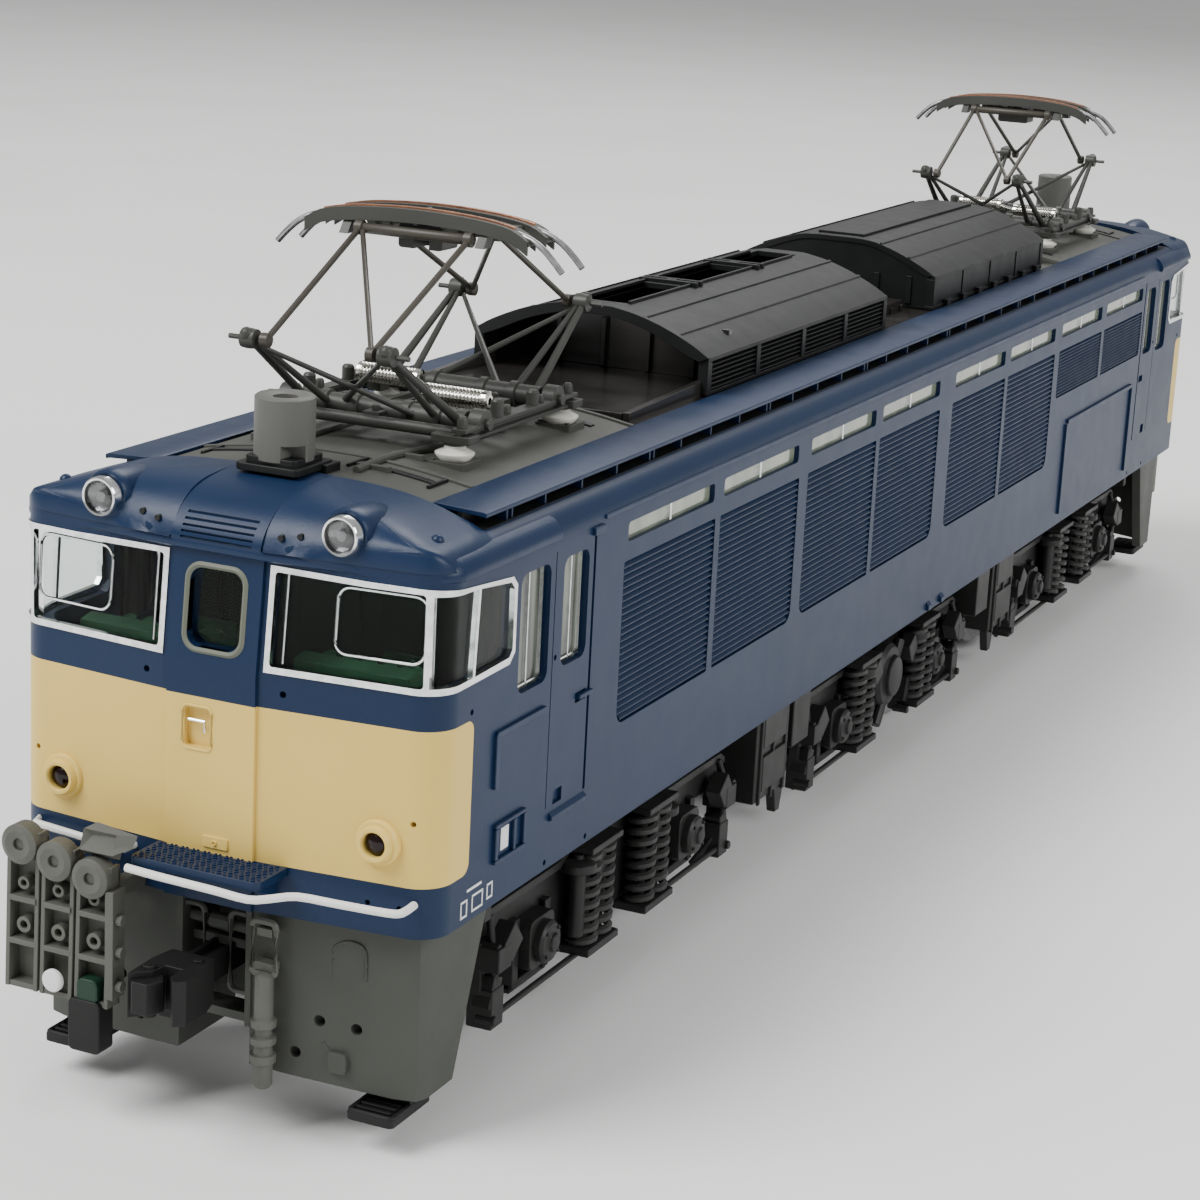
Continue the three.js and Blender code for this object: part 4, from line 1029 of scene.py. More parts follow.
# tread plate under the front door, with a raised diamond pattern
tread = Solid()
tread.prism(rounded(-4.3, -FRONT - 3.75, 6.3, -FRONT + 0.2, [0.5, 0.5, 0.05, 0.05], 3), "z", BASE + 3.1,
            BASE + 3.75)
for row in range(9):
    for column in range(22):
        x = -3.95 + column * 0.46 + (row % 2) * 0.23
        if x < 6.05:
            turn = Matrix.Rotation(math.radians(35 if (row + column) % 2 else -35), 4, "Z")
            tread.block((x, -FRONT - 3.45 + row * 0.4, BASE + 3.78), (0.34, 0.12, 0.14), turn)
for x in (-3.4, 5.2):
    tread.prism([(-FRONT - 3.2, BASE + 3.1), (-FRONT + 0.2, BASE + 3.1), (-FRONT + 0.2, BASE + 1.2)], "x",
                x - 0.25, x + 0.25)
at_both_ends("front_tread_END", tread, NAVY_PLASTIC, slot="navy_paint", bevel=0.05)

rail_line = catmull([
    (-4.2, -FRONT - 4.2, 3.0), (-1.5, -FRONT - 4.35, 2.95), (3.0, -FRONT - 4.35, 2.85),
    (5.9, -FRONT - 4.35, 2.75),
    (7.2, -FRONT - 3.5, 2.8), (8.6, -FRONT - 2.3, 2.85), (11.5, -FRONT - 1.8, 2.75),
    (15.0, -FRONT - 1.1, 2.6),
    (15.9, -FRONT - 0.55, 2.6), (15.9, -FRONT + 1.2, 2.6),
], 3)
rail = Solid().tube([(x, y, z + BASE) for x, y, z in rail_line], 0.3, 10)
at_both_ends("handrail_END", rail, WHITE, slot="white_plastic", replaces=["front_handrail_END"])
left_rail = Solid().tube([(-6.5, -FRONT + 0.6, BASE + 2.9), (-6.6, -FRONT - 0.9, BASE + 2.9),
                          (-9, -FRONT - 0.7, BASE + 2.9),
                          (-15.2, -FRONT + 0.2, BASE + 2.9), (-15.6, -FRONT + 1.6, BASE + 2.9)], 0.28, 8)
at_both_ends("handrail_left_END", left_rail, WHITE, slot="white_plastic")


# ---------------------------------------------------------------- cab interior
def cab_furniture():
    """Floor, two desks with gauges and a lever, and two seats."""
    y, floor = -FRONT, BASE + 7
    solid = Solid().box((-14.5, y + 3.6, floor - 1), (14.5, y + 17, floor))
    # desk with a sloping instrument panel in front of each seat
    desk = [(y + 3.6, floor), (y + 3.6, BELT + 0.6), (y + 5.0, BELT + 0.9), (y + 7.2, BELT - 0.4),
            (y + 7.2, BELT - 1.2),
            (y + 5.8, floor)]
    solid.prism(desk, "x", -13.6, -4.4)
    solid.prism(desk, "x", 4.4, 13.6)
    for hand in (-1, 1):
        x = hand * 8.4
        for k in range(4):
            gauge = Vector((x - 2.4 + 1.6 * k, y + 6.0, BELT + 0.32))
            solid.rod(gauge, gauge + Vector((0, -0.18, 0.3)), 0.55, 16)
        solid.rod((x + 3.4, y + 7.6, floor), (x + 3.4, y + 7.6, BELT - 0.6), 0.45, 10)
        solid.lathe([(1.0, 0), (1.1, 0.3), (0.9, 0.7), (0.4, 0.9), (0.05, 1.4)],
                    (x + 3.4, y + 7.6, BELT - 0.6), (0, 0, 1), 16)
        solid.box((x - 2.1, y + 10, floor + 3.2), (x + 2.1, y + 13.4, floor + 4.4))
        solid.prism([(y + 12.6, floor + 4), (y + 13.4, floor + 4), (y + 13.9, floor + 9.4),
                     (y + 13.2, floor + 9.4)],
                    "x", x - 2.1, x + 2.1)
        solid.rod((x, y + 11.7, floor), (x, y + 11.7, floor + 3.3), 0.6, 10)
    return solid


def bulkhead():
    """Rear wall of the cab with its door and lockers."""
    y, floor = -FRONT, BASE + 7
    solid = Solid()
    solid.box((-15.2, y + 16.2, floor - 1), (15.2, y + 17, BASE + 27))
    solid.box((-2.6, y + 15.9, floor), (2.6, y + 16.3, BASE + 24))
    for x in (-11.5, -6.5, 6.5, 11.5):
        solid.box((x - 1.9, y + 15.8, floor + 6), (x + 1.9, y + 16.3, BASE + 22))
    return solid


at_both_ends("cab_desk_END", cab_furniture(), CAB_GREEN, slot="cab_green", replaces=["cab_interior_END"],
             bevel=0.12)
at_both_ends("cab_bulkhead_END", bulkhead(), CAB_WALL, slot="cab_green", bevel=0.1)


# ---------------------------------------------------------------- roof
ROOF_HALF = 11.3


def roof_crown(half):
    """Half outline of the grey roof's top, from its edge to the middle."""
    return catmull([(half, ROOF_EDGE), (8.4, ROOF_EDGE + 0.48), (5.2, ROOF_EDGE + 0.86),
                    (2.4, ROOF_CROWN - 0.04), (0.6, ROOF_CROWN)])


def roof_outline(half, low, lift=0.0):
    return mirrored_outline([(half, low)] + [(x, z + lift) for x, z in roof_crown(half)])


def crown_z(x):
    """Height of the roof's surface at a distance from the middle."""
    return height_on(roof_crown(ROOF_HALF), abs(x))


PANEL_END = -FRONT + 44.9
roof_panel = Solid().prism(roof_outline(ROOF_HALF, DECK + 0.3), "y", -FRONT + CAB + 0.3, PANEL_END)
for y in (16.2, 44.2):
    roof_panel.prism(roof_outline(11.4, DECK + 0.4, 0.16), "y", -FRONT + y, -FRONT + y + 0.5)
at_both_ends("roof_panel_grey_END", roof_panel, ROOF_PAINT, slot="roof_grey", replaces=["roof_panel_END"],
             bevel=0.06, smooth=20)

# thin plates that follow the roof's crown
strips = Solid()
for y in (14.2, 40.6):
    for x0, x1 in ((2.8, 9.4), (-9.4, -2.8)):
        line = [x0 + (x1 - x0) * i / 6 for i in range(7)]
        under, over = [(x, crown_z(x) - 0.2) for x in line], [(x, crown_z(x) + 0.14) for x in reversed(line)]
        strips.prism(under + over, "y", -FRONT + y, -FRONT + y + 0.75)
for x in (-9.6, -3.0, 2.8, 9.4):
    strips.box((x, -FRONT + 13.0, crown_z(x) - 0.2), (x + 0.24, -FRONT + 16.0, crown_z(x) + 0.22))
at_both_ends("roof_seam_strips_END", strips, VENT_BLACK, slot="matt_black", bevel=0.04)

# raised pads and conduit on the grey roof
fittings = Solid()
for hand in (-1, 1):
    for y in (20.6, 38.6):
        x = hand * 7.6
        fittings.prism(rounded(x - 1.6, -FRONT + y - 1.5, x + 1.6, -FRONT + y + 1.5, 0.3, 2), "z",
                       crown_z(8) - 0.3, crown_z(7) + 0.25)
        for dx in (-1.2, 1.2):
            fittings.rod((x + dx, -FRONT + y - 1.1, crown_z(8)), (x + dx, -FRONT + y - 1.1, crown_z(7) + 0.4),
                         0.24, 6)
conduit = catmull([(4.2, -FRONT + 12.0, crown_z(4.2) + 0.2), (4.0, -FRONT + 18, crown_z(4) + 0.2),
                   (5.2, -FRONT + 24, crown_z(5) + 0.2), (5.2, -FRONT + 33, crown_z(5) + 0.2),
                   (3.6, -FRONT + 37, crown_z(3.6) + 0.2), (3.6, -FRONT + 43.5, crown_z(3.6) + 0.2)], 3)
fittings.tube(conduit, 0.3, 8)
for y in (14, 19, 26, 32, 40):
    fittings.box((3.2, -FRONT + y - 0.25, crown_z(4) - 0.2), (5.9, -FRONT + y + 0.25, crown_z(4) + 0.28))
fittings.tube([(-4.6, -FRONT + 12, crown_z(4.6) + 0.16), (-4.6, -FRONT + 43, crown_z(4.6) + 0.16)], 0.22, 8)
at_both_ends("roof_fittings_END", fittings, ROOF_PAINT, slot="roof_grey", bevel=0.04)

# walkways: a lipped strip on a slotted riser, the riser and its posts in darker navy as painted shade
walk = Solid()
reach = FRONT - 9.9
walk.prism([(11.55, BASE + 28.72), (15.5, BASE + 28.5), (15.85, BASE + 28.42), (15.9, BASE + 28.5),
            (15.9, BASE + 28.74),
            (15.7, BASE + 28.84), (11.75, BASE + 29.05), (11.5, BASE + 28.95)], "y", -reach, reach)
risers = Solid()
risers.box((11.6, -reach + 0.4, DECK + 0.02), (12.0, reach - 0.4, BASE + 28.75))
for k in range(-15, 16):
    risers.box((14.9, k * 6.2 - 0.11, DECK), (15.7, k * 6.2 + 0.11, BASE + 28.52))
    if k % 4 == 1:
        risers.box((14.9, k * 6.2 + 0.7, DECK), (15.7, k * 6.2 + 0.92, BASE + 28.52))
for side, body_turn in (("right", None), ("left", HALF_TURN)):
    piece("roof_walkway_top_" + side, Solid().add(walk, body_turn), NAVY_PLASTIC, slot="navy_paint",
          replaces=["roof_walkway_" + side], bevel=0.06)
    piece("roof_walkway_posts_" + side, Solid().add(risers, body_turn), NAVY_SHADOW, slot="navy_paint")
# Black strips on the deck under each walkway, and an upright strip beneath each: painted shade, a dark sheet
# where the slot under the walkway lies in shadow.
deck_shade = Solid()
for hand in (-1, 1):
    a, b = sided(hand, 12.1, 15.85)
    deck_shade.box((a, -reach, DECK + 0.01), (b, reach, DECK + 0.06))
    a, b = sided(hand, 13.6, 14.0)
    deck_shade.box((a, -reach, DECK + 0.05), (b, reach, BASE + 28.62))
piece("painted_shade_under_walkways", deck_shade, VENT_BLACK, slot="matt_black")


# ---------------------------------------------------------------- vent covers
EAVE = BASE + 32.2
CREST = BASE + 35.7
COVER_HALF = 11.3
FOOT_Z = ROOF_EDGE + 0.1                # lower edge of the covers' sides
SHEET = 0.55                            # thickness of their roof sheet
FRONT_COVER = (60 - FRONT, 106 - FRONT)
REAR_COVER = (121 - FRONT, 161 - FRONT)


def cover_line(eave, shrink=0.0):
    """Half outline of an arched cover, from the eave to the crest."""
    return catmull([(COVER_HALF - 0.05 - shrink, eave - shrink * 0.5),
                    (9.4 - shrink * 0.8, eave + 1.05 - shrink),
                    (6.8 - shrink * 0.6, eave + 2.2 - shrink), (4.2 - shrink * 0.4, eave + 3.0 - shrink),
                    (2.0, CREST - 0.1 - shrink)])


def cover_arch(eave, inner, outer=0.0):
    """Outline of an arched sheet between two shrinks."""
    return mirrored_outline(cover_line(eave, outer)) + mirrored_outline(cover_line(eave, inner))[::-1]


def cover_skin(y0, y1, eave):
    """The arched roof sheet of a cover."""
    return Solid().prism(cover_arch(eave, SHEET), "y", y0, y1)


def cover_walls(y0, y1, eave, slatted):
    """Everything of a cover but its roof sheet: seams, sides, ends. The slatted cover is open at the near
    end."""
    solid = Solid()
    outer = cover_line(eave)
    bays = 4
    for x in (5.0, 8.2):
        for hand in (-1, 1):
            z = height_on(outer, x)
            slope = height_on(outer, x - 0.14) - height_on(outer, x + 0.14)
            solid.prism([(hand * (x - 0.14), z + slope / 2 - 0.3), (hand * (x - 0.14), z + slope / 2 + 0.16),
                         (hand * (x + 0.14), z - slope / 2 + 0.16), (hand * (x + 0.14), z - slope / 2 - 0.3)],
                        "y", y0 + 0.1, y1 - 0.1)
    # sides: back wall, foot and head rails, posts between the bays
    length = y1 - y0
    for hand in (-1, 1):
        inner_x, outer_x = COVER_HALF - 0.75, COVER_HALF - 0.12
        a, b = sided(hand, inner_x - 0.25, inner_x)
        solid.box((a, y0 + 0.3, FOOT_Z), (b, y1 - 0.3, eave))
        a, b = sided(hand, inner_x - 0.2, COVER_HALF)
        solid.box((a, y0, FOOT_Z), (b, y1, FOOT_Z + 0.35))
        solid.box((a, y0, eave - 0.35), (b, y1, eave + 0.02))
        for k in range(bays + 1):
            y = y0 + (length - 0.9) * k / bays
            solid.box((a, y, FOOT_Z + 0.34), (b, y + 0.9, eave - 0.34))
        if slatted:
            for k in range(6):
                z = FOOT_Z + 0.42 + (eave - FOOT_Z - 0.8) * k / 6
                profile = [(hand * inner_x, z), (hand * inner_x, z + 0.3), (hand * outer_x, z + 0.12),
                           (hand * outer_x, z)]
                solid.prism(profile, "y", y0 + 0.4, y1 - 0.4)
        else:
            # plain panel with small hooks along its foot
            a, b = sided(hand, inner_x, outer_x)
            solid.box((a, y0 + 0.2, FOOT_Z + 0.3), (b, y1 - 0.2, eave - 0.2))
            a, b = sided(hand, outer_x - 0.1, COVER_HALF + 0.45)
            for k in range(7):
                y = y0 + 3.5 + 5.5 * k
                solid.box((a, y, FOOT_Z + 0.1), (b, y + 1.3, FOOT_Z + 0.75))
    # ends
    wall = mirrored_outline([(COVER_HALF - 0.2, FOOT_Z)] + cover_line(eave, SHEET))
    if slatted:
        solid.prism(cover_arch(eave, 0.75, -0.12), "y", y0 - 0.25, y0 + 0.35)
    else:
        solid.prism(wall, "y", y0 + 0.15, y0 + 0.7)
        for x in (-8.4, -4.8, 4.8, 8.4):
            solid.box((x - 0.3, y0 - 0.1, FOOT_Z + 0.4), (x + 0.3, y0 + 0.3, eave - 0.2))
    solid.prism(wall, "y", y1 - 0.7, y1 - 0.15)
    return solid


def opened_cover():
    """The large cover, with its row of slots along the crest."""
    obj = cover_skin(*FRONT_COVER, EAVE).object("cover")
    slots = Solid()
    for start, length in ((63.0, 12.8), (78.6, 12.8), (93.8, 10.0)):
        slots.box((-2.1, start - FRONT, CREST - 1.6), (2.1, start - FRONT + length, CREST + 1))
    cut(obj, slots)
    result = taken(obj).add(cover_walls(*FRONT_COVER, EAVE, slatted=True))
    # paired cross bars between the slots, and a lip at each side of the row
    for start in (76.4 - FRONT, 91.6 - FRONT):
        result.box((-2.9, start, CREST - 0.45), (2.9, start + 0.45, CREST + 0.24))
        result.box((-2.9, start + 1.15, CREST - 0.45), (2.9, start + 1.6, CREST + 0.24))
        result.box((-0.5, start + 0.4, CREST - 0.4), (0.5, start + 1.2, CREST + 0.2))
    for hand in (-1, 1):
        a, b = sided(hand, 2.1, 2.4)
        result.box((a, 63 - FRONT, CREST - 0.6), (b, 102 - FRONT, CREST + 0.12))
    return result


piece("vent_cover_front", opened_cover(), VENT_BLACK, slot="matt_black", replaces=["vent_cover_large"],
      bevel=0.05, smooth=30)
small = cover_skin(*REAR_COVER, EAVE + 0.2).add(cover_walls(*REAR_COVER, EAVE + 0.2, slatted=False))
small.box((-2.6, 122.5 - FRONT, CREST - 0.3), (2.6, 159.5 - FRONT, CREST + 0.16))
piece("vent_cover_rear", small, VENT_BLACK, slot="matt_black", replaces=["vent_cover_small"], bevel=0.05,
      smooth=30)

# dark interior of the front cover, its sloping floor and the plate between the covers
trough = Solid()
trough.box((-11.3, PANEL_END + 0.3, DECK + 0.3), (11.3, -PANEL_END - 0.3, FOOT_Z - 0.1))
trough.prism([(PANEL_END + 0.3, FOOT_Z - 0.2), (64 - FRONT, FOOT_Z - 0.2), (64 - FRONT, FOOT_Z + 0.1),
              (PANEL_END + 0.3, ROOF_EDGE + 0.8)],
             "x", -10.0, 10.0)
for hand in (-1, 1):
    a, b = sided(hand, 10.1, 10.7)
    trough.prism([(PANEL_END + 0.3, FOOT_Z - 0.2), (62 - FRONT, FOOT_Z - 0.2), (62 - FRONT, FOOT_Z + 1.3),
                  (PANEL_END + 0.3, ROOF_EDGE + 0.9)], "x", a, b)
trough.box((-9.8, 68 - FRONT, FOOT_Z - 0.1), (9.8, 68.6 - FRONT, CREST - 2.2))
for x in (-6.6, -2.2, 2.2, 6.6):
    trough.box((x - 0.25, 67.5 - FRONT, FOOT_Z), (x + 0.25, 68.05 - FRONT, CREST - 2.4))
for y in (108, 112, 116, 119):
    trough.box((-8.5, y - FRONT, FOOT_Z - 0.12), (8.5, y - FRONT + 0.6, FOOT_Z + 0.5))
for x in (-7, 7):
    trough.box((x - 1.2, 107.5 - FRONT, FOOT_Z - 0.12), (x + 1.2, 120.0 - FRONT, FOOT_Z + 0.9))
trough.prism(rounded(-4.5, 164 - FRONT, 4.5, -PANEL_END - 1.2, 0.6, 3), "z", FOOT_Z - 0.12, FOOT_Z + 1.0)
piece("vent_floor", trough, GLOSS_BLACK, slot="matt_black", replaces=["vent_trough"], bevel=0.06)

# whistle cover on its base
whistle_y = -FRONT + 9
cap = Solid().ring([(0.9, 0.3), (0.9, 4.75), (1.5, 4.9), (2.0, 4.9), (2.2, 4.75), (2.2, 1.3), (2.2, 0.3)],
                   (0, whistle_y, BASE + 30.5), (0, 0, 1), 48)
cap.lathe([(0.95, 0.3), (0.95, 3.9), (0.6, 4.1), (0.02, 4.1)], (0, whistle_y, BASE + 30.5), (0, 0, 1), 32)
cap_object = cap.object("cap")
cut(cap_object, Solid().box((0.9, whistle_y - 3, BASE + 30), (3, whistle_y - 0.6, BASE + 32.0)))
at_both_ends("whistle_cover_END", taken(cap_object), WHISTLE_GREY, slot="roof_grey", replaces=["whistle_END"],
             bevel=0.08, smooth=40)
foot = Solid()
foot.prism(rounded(-2.6, whistle_y - 2.5, 2.6, whistle_y + 2.6, 0.4, 3), "z", BASE + 30.05, BASE + 30.6)
foot.prism(rounded(-2.1, whistle_y - 2.0, 2.1, whistle_y + 2.1, 0.4, 3), "z", BASE + 30.55, BASE + 31.1)
foot.box((-3.0, whistle_y + 0.9, BASE + 29.7), (3.0, whistle_y + 2.9, BASE + 30.45))
at_both_ends("whistle_base_END", foot, VENT_BLACK, slot="matt_black", bevel=0.08)
brow_bits = Solid()
for hand in (-1, 1):
    brow_bits.ball((hand * 15.2, -FRONT + 4.0, BASE + 27.9), 0.5, 12)
brow_bits.box((-9.3, -FRONT + 8.6, BASE + 29.3), (9.3, -FRONT + 9.6, BASE + 29.55))
at_both_ends("brow_fittings_END", brow_bits, NAVY_PLASTIC, slot="navy_paint", bevel=0.04)


# ---------------------------------------------------------------- pantographs, built about their centre
PANTO_Y = (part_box("pantograph_near_head")[0].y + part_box("pantograph_near_head")[1].y) / 2 / MM
# pivots, from the pantograph's centre: main shaft, knuckle and head
SHAFT_Y, SHAFT_Z = 6.2, BASE + 32
KNUCKLE_Y, KNUCKLE_Z = 16.2, BASE + 38.15
HEAD_Y, HEAD_Z, HEAD_TOP = 2.3, BASE + 45, BASE + 46.94


def on_panto(solid):
    return solid.moved(0, PANTO_Y, 0)


def coil(solid, start, end, radius, wire, turns, sides=5, steps=14):
    """A closed-wound spring between two points."""
    start, end = Vector(start), Vector(end)
    turn = (end - start).to_track_quat("Z", "Y")
    length = (end - start).length
    count = turns * steps
    solid.tube([
        start + turn @ Vector((radius * math.cos(2 * math.pi * k / steps),
                               radius * math.sin(2 * math.pi * k / steps),
                               length * k / count))
        for k in range(count + 1)
    ], wire, sides)
    return solid


frame_base = Solid()
feet = Solid()
insulators = Solid()
for hand in (-1, 1):
    x = hand * 8.2
    frame_base.prism([(x - 0.6, SHAFT_Z - 0.9), (x + 0.6, SHAFT_Z - 0.9), (x + 0.6, SHAFT_Z - 0.65),
                      (x + 0.2, SHAFT_Z - 0.55),
                      (x + 0.2, SHAFT_Z - 0.3), (x + 0.6, SHAFT_Z - 0.2), (x + 0.6, SHAFT_Z + 0.1),
                      (x - 0.6, SHAFT_Z + 0.1),
                      (x - 0.6, SHAFT_Z - 0.2), (x - 0.2, SHAFT_Z - 0.3), (x - 0.2, SHAFT_Z - 0.55),
                      (x - 0.6, SHAFT_Z - 0.65)], "y", -9.6, 9.6)
    for y in (-SHAFT_Y, SHAFT_Y):
        frame_base.prism([(y - 1.1, SHAFT_Z - 0.2), (y + 1.1,
                                                     SHAFT_Z - 0.2)] + arc(y, SHAFT_Z + 0.1, 1.05, 0, 180, 8),
                         "x", x - 0.55, x + 0.55)
        frame_base.rod((x + hand * 0.5, y, SHAFT_Z), (x + hand * 0.95, y, SHAFT_Z), 0.45, 12)
    for y, height, radius in ((-9.0, 1.0, 0.42), (-3.4, 1.5, 0.5), (-1.8, 0.8, 0.35), (2.6, 1.3, 0.5),
                              (4.0, 0.7, 0.3), (8.9, 0.9, 0.4)):
        frame_base.lathe([(radius, 0), (radius, height - 0.2), (radius * 0.7, height), (0.05, height)],
                         (x, y, SHAFT_Z), (0, 0, 1), 12)
    for y in (-8.9, 8.9):
        frame_base.prism(rounded(hand * 7.6 - 1.7, y - 1.0, hand * 7.6 + 1.7, y + 1.0, 0.4, 2), "z",
                         SHAFT_Z - 0.95, SHAFT_Z - 0.4)
        frame_base.rod((hand * 7.6, y, SHAFT_Z - 1.2), (hand * 7.6, y, SHAFT_Z - 0.9), 0.9, 12)
        insulators.lathe([(0.62, 0), (0.95, 0.12), (1.15, 0.3), (1.5, 0.72), (1.5, 0.86), (1.15, 1.05),
                          (0.85, 1.2),
                          (0.8, 1.42)], (hand * 7.6, y, SHAFT_Z - 2.62), (0, 0, 1), 28)
        feet.prism(rounded(hand * 7.6 - 1.5, y - 1.2, hand * 7.6 + 1.5, y + 1.2, 0.3, 2), "z",
                   ROOF_EDGE + 0.2, SHAFT_Z - 2.55)
for y in (-8.25, 8.25):
    frame_base.rod((-8.2, y, SHAFT_Z - 0.5), (8.2, y, SHAFT_Z - 0.5), 0.48, 12)
frame_base.box((-8.2, -0.6, SHAFT_Z - 0.85), (8.2, 0.6, SHAFT_Z - 0.45))
for x in (-2.9, 2.9):
    frame_base.box((x - 0.3, -8.2, SHAFT_Z - 0.8), (x + 0.3, 8.2, SHAFT_Z - 0.35))
for x, y, w, d, h in ((-4.6, -3.9, 2.4, 1.5, 0.9), (4.4, 3.6, 2.2, 1.3, 0.8), (0, -7.4, 1.4, 1.6, 1.0),
                      (-6.4, 4.4, 1.2, 1.6, 1.2),
                      (5.6, -4.5, 1.2, 1.2, 0.9)):
    frame_base.box((x - w / 2, y - d / 2, SHAFT_Z - 0.8), (x + w / 2, y + d / 2, SHAFT_Z - 0.8 + h))
    frame_base.lathe([(0.32, 0), (0.32, 0.35), (0.2, 0.45)], (x, y, SHAFT_Z - 0.8 + h), (0, 0, 1), 10)
frame_base.tube(catmull([(0.6, -8.2, SHAFT_Z - 0.4), (0.8, -4, SHAFT_Z - 0.1), (0.2, 0, SHAFT_Z + 0.1),
                         (-0.7, 5, SHAFT_Z - 0.2),
                         (-0.4, 8.2, SHAFT_Z - 0.5)], 4), 0.2, 6)
at_both_ends("pantograph_frame_END", on_panto(frame_base), PANTO_GREY, slot="pantograph_grey",
             replaces=["pantograph_END_base"], bevel=0.05)
at_both_ends("pantograph_insulators_END", on_panto(insulators), INSULATOR, slot="insulator_white", smooth=50)
at_both_ends("pantograph_feet_END", on_panto(feet), PANTO_GREY, slot="pantograph_grey", bevel=0.06)

springs = Solid()
for x0, x1, y in ((1.7, 6.7, -2.3), (-6.7, -1.7, 2.3)):
    coil(springs, (x0, y, SHAFT_Z + 0.95), (x1, y, SHAFT_Z + 0.95), 0.66, 0.17, 16)
    springs.rod((x0 - 0.3, y, SHAFT_Z + 0.95), (x1 + 0.3, y, SHAFT_Z + 0.95), 0.5, 10)
    for x in (x0, x1):
        springs.lathe([(0.3, -0.3), (0.8, -0.2), (0.8, 0.2), (0.3, 0.3)], (x, y, SHAFT_Z + 0.95), (1, 0, 0),
                      16)
springs.rod((1.9, -2.3, SHAFT_Z + 0.95), (-1.9, 2.3, SHAFT_Z + 0.95), 0.24, 8)
at_both_ends("pantograph_coils_END", on_panto(springs), CHROME, slot="bright_trim",
             replaces=["pantograph_END_springs"], smooth=50)


def lower_arm():
    """Main shaft with its crank, and the braced tubes up to both knuckles."""
    solid = Solid().lathe([(0.6, -7.3), (0.85, -7.2), (0.85, 7.2), (0.6, 7.3)], (0, -SHAFT_Y, SHAFT_Z),
                          (1, 0, 0), 20)
    for x in (-4.9, -2.2, 2.2, 4.9):
        solid.lathe([(0.85, -0.35), (1.05, -0.3), (1.05, 0.3), (0.85, 0.35)], (x, -SHAFT_Y, SHAFT_Z),
                    (1, 0, 0), 20)
    solid.prism([(-SHAFT_Y - 0.5, SHAFT_Z), (-SHAFT_Y + 0.5, SHAFT_Z), (-SHAFT_Y + 0.35, SHAFT_Z - 1.35),
                 (-SHAFT_Y - 0.35, SHAFT_Z - 1.35)],
                "x", -0.3, 0.3)
    for hand in (-1, 1):
        knuckle = Vector((hand * 5.6, -KNUCKLE_Y, KNUCKLE_Z))
        solid.rod((hand * 6.5, -SHAFT_Y - 0.3, SHAFT_Z + 0.1), knuckle + Vector((hand * 0.25, 0, 0)), 0.36,
                  10, 0.26)
        solid.rod((hand * 4.6, -SHAFT_Y - 0.3, SHAFT_Z + 0.1), knuckle + Vector((-hand * 0.1, 0, 0)), 0.3, 10,
                  0.22)
        solid.rod((-hand * 3.2, -SHAFT_Y - 0.3, SHAFT_Z + 0.2 + 0.25 * hand),
                  knuckle + Vector((-hand * 0.3, 0, -0.35)), 0.28, 10, 0.18)
        solid.lathe([(0.35, -0.7), (0.72, -0.6), (0.78, 0.0), (0.72, 0.55), (0.3, 0.7)],
                    knuckle + Vector((hand * 0.15, 0, 0)), (hand, 0, 0), 16)
        solid.rod(knuckle + Vector((hand * 0.6, 0, 0)), knuckle + Vector((hand * 1.9, 0, 0.0)), 0.2, 8)
        solid.ball(knuckle + Vector((hand * 0.2, -0.35, 0.35)), 0.55, 10)
    return solid


def upper_arm():
    """Tubes from the knuckles to the head's shaft, with one diagonal."""
    solid = Solid().lathe([(0.3, -5.15), (0.42, -5.0), (0.42, 5.0), (0.3, 5.15)], (0, -HEAD_Y, HEAD_Z),
                          (1, 0, 0), 14)
    for hand in (-1, 1):
        foot = Vector((hand * 4.4, -KNUCKLE_Y, KNUCKLE_Z))
        head = Vector((hand * 4.7, -HEAD_Y, HEAD_Z))
        solid.rod(foot, head, 0.24, 10)
        solid.lathe([(0.3, -0.42), (0.55, -0.3), (0.55, 0.3), (0.3, 0.42)], foot, (1, 0, 0), 14)
        solid.lathe([(0.4, -0.4), (0.58, -0.3), (0.58, 0.3), (0.4, 0.4)], head, (1, 0, 0), 14)
    solid.rod((4.4, -KNUCKLE_Y, KNUCKLE_Z), (-4.5, -HEAD_Y, HEAD_Z - 0.05), 0.21, 10)
    return solid


for level, build, finish_material, arm_slot in (
    ("lower", lower_arm, PANTO_GREY, "pantograph_grey"), ("upper", upper_arm, PANTO_ROD, "pantograph_grey"),
):
    for place, shape in (("outer", build()), ("inner", build().turned())):
        node = "pantograph_END_%s_arm_%s" % (level, place)
        at_both_ends("%s_arm_%s_END" % (level, place), on_panto(shape), finish_material, body=node,
                     slot=arm_slot,
                     replaces=[node], smooth=40)


BOW = [(-9.6, -1.72), (-8.2, -0.95), (-6.0, -0.55), (-3, -0.32), (0, -0.24), (3, -0.32), (6.0, -0.55),
       (8.2, -0.95), (9.6, -1.72)]


def bow_section(low, high):
    """Outline of a strip along the head's bow, between two heights from its line."""
    line = catmull([(x, HEAD_TOP + z) for x, z in BOW], 3)
    return [(x, z + high) for x, z in line] + [(x, z + low) for x, z in reversed(line)]


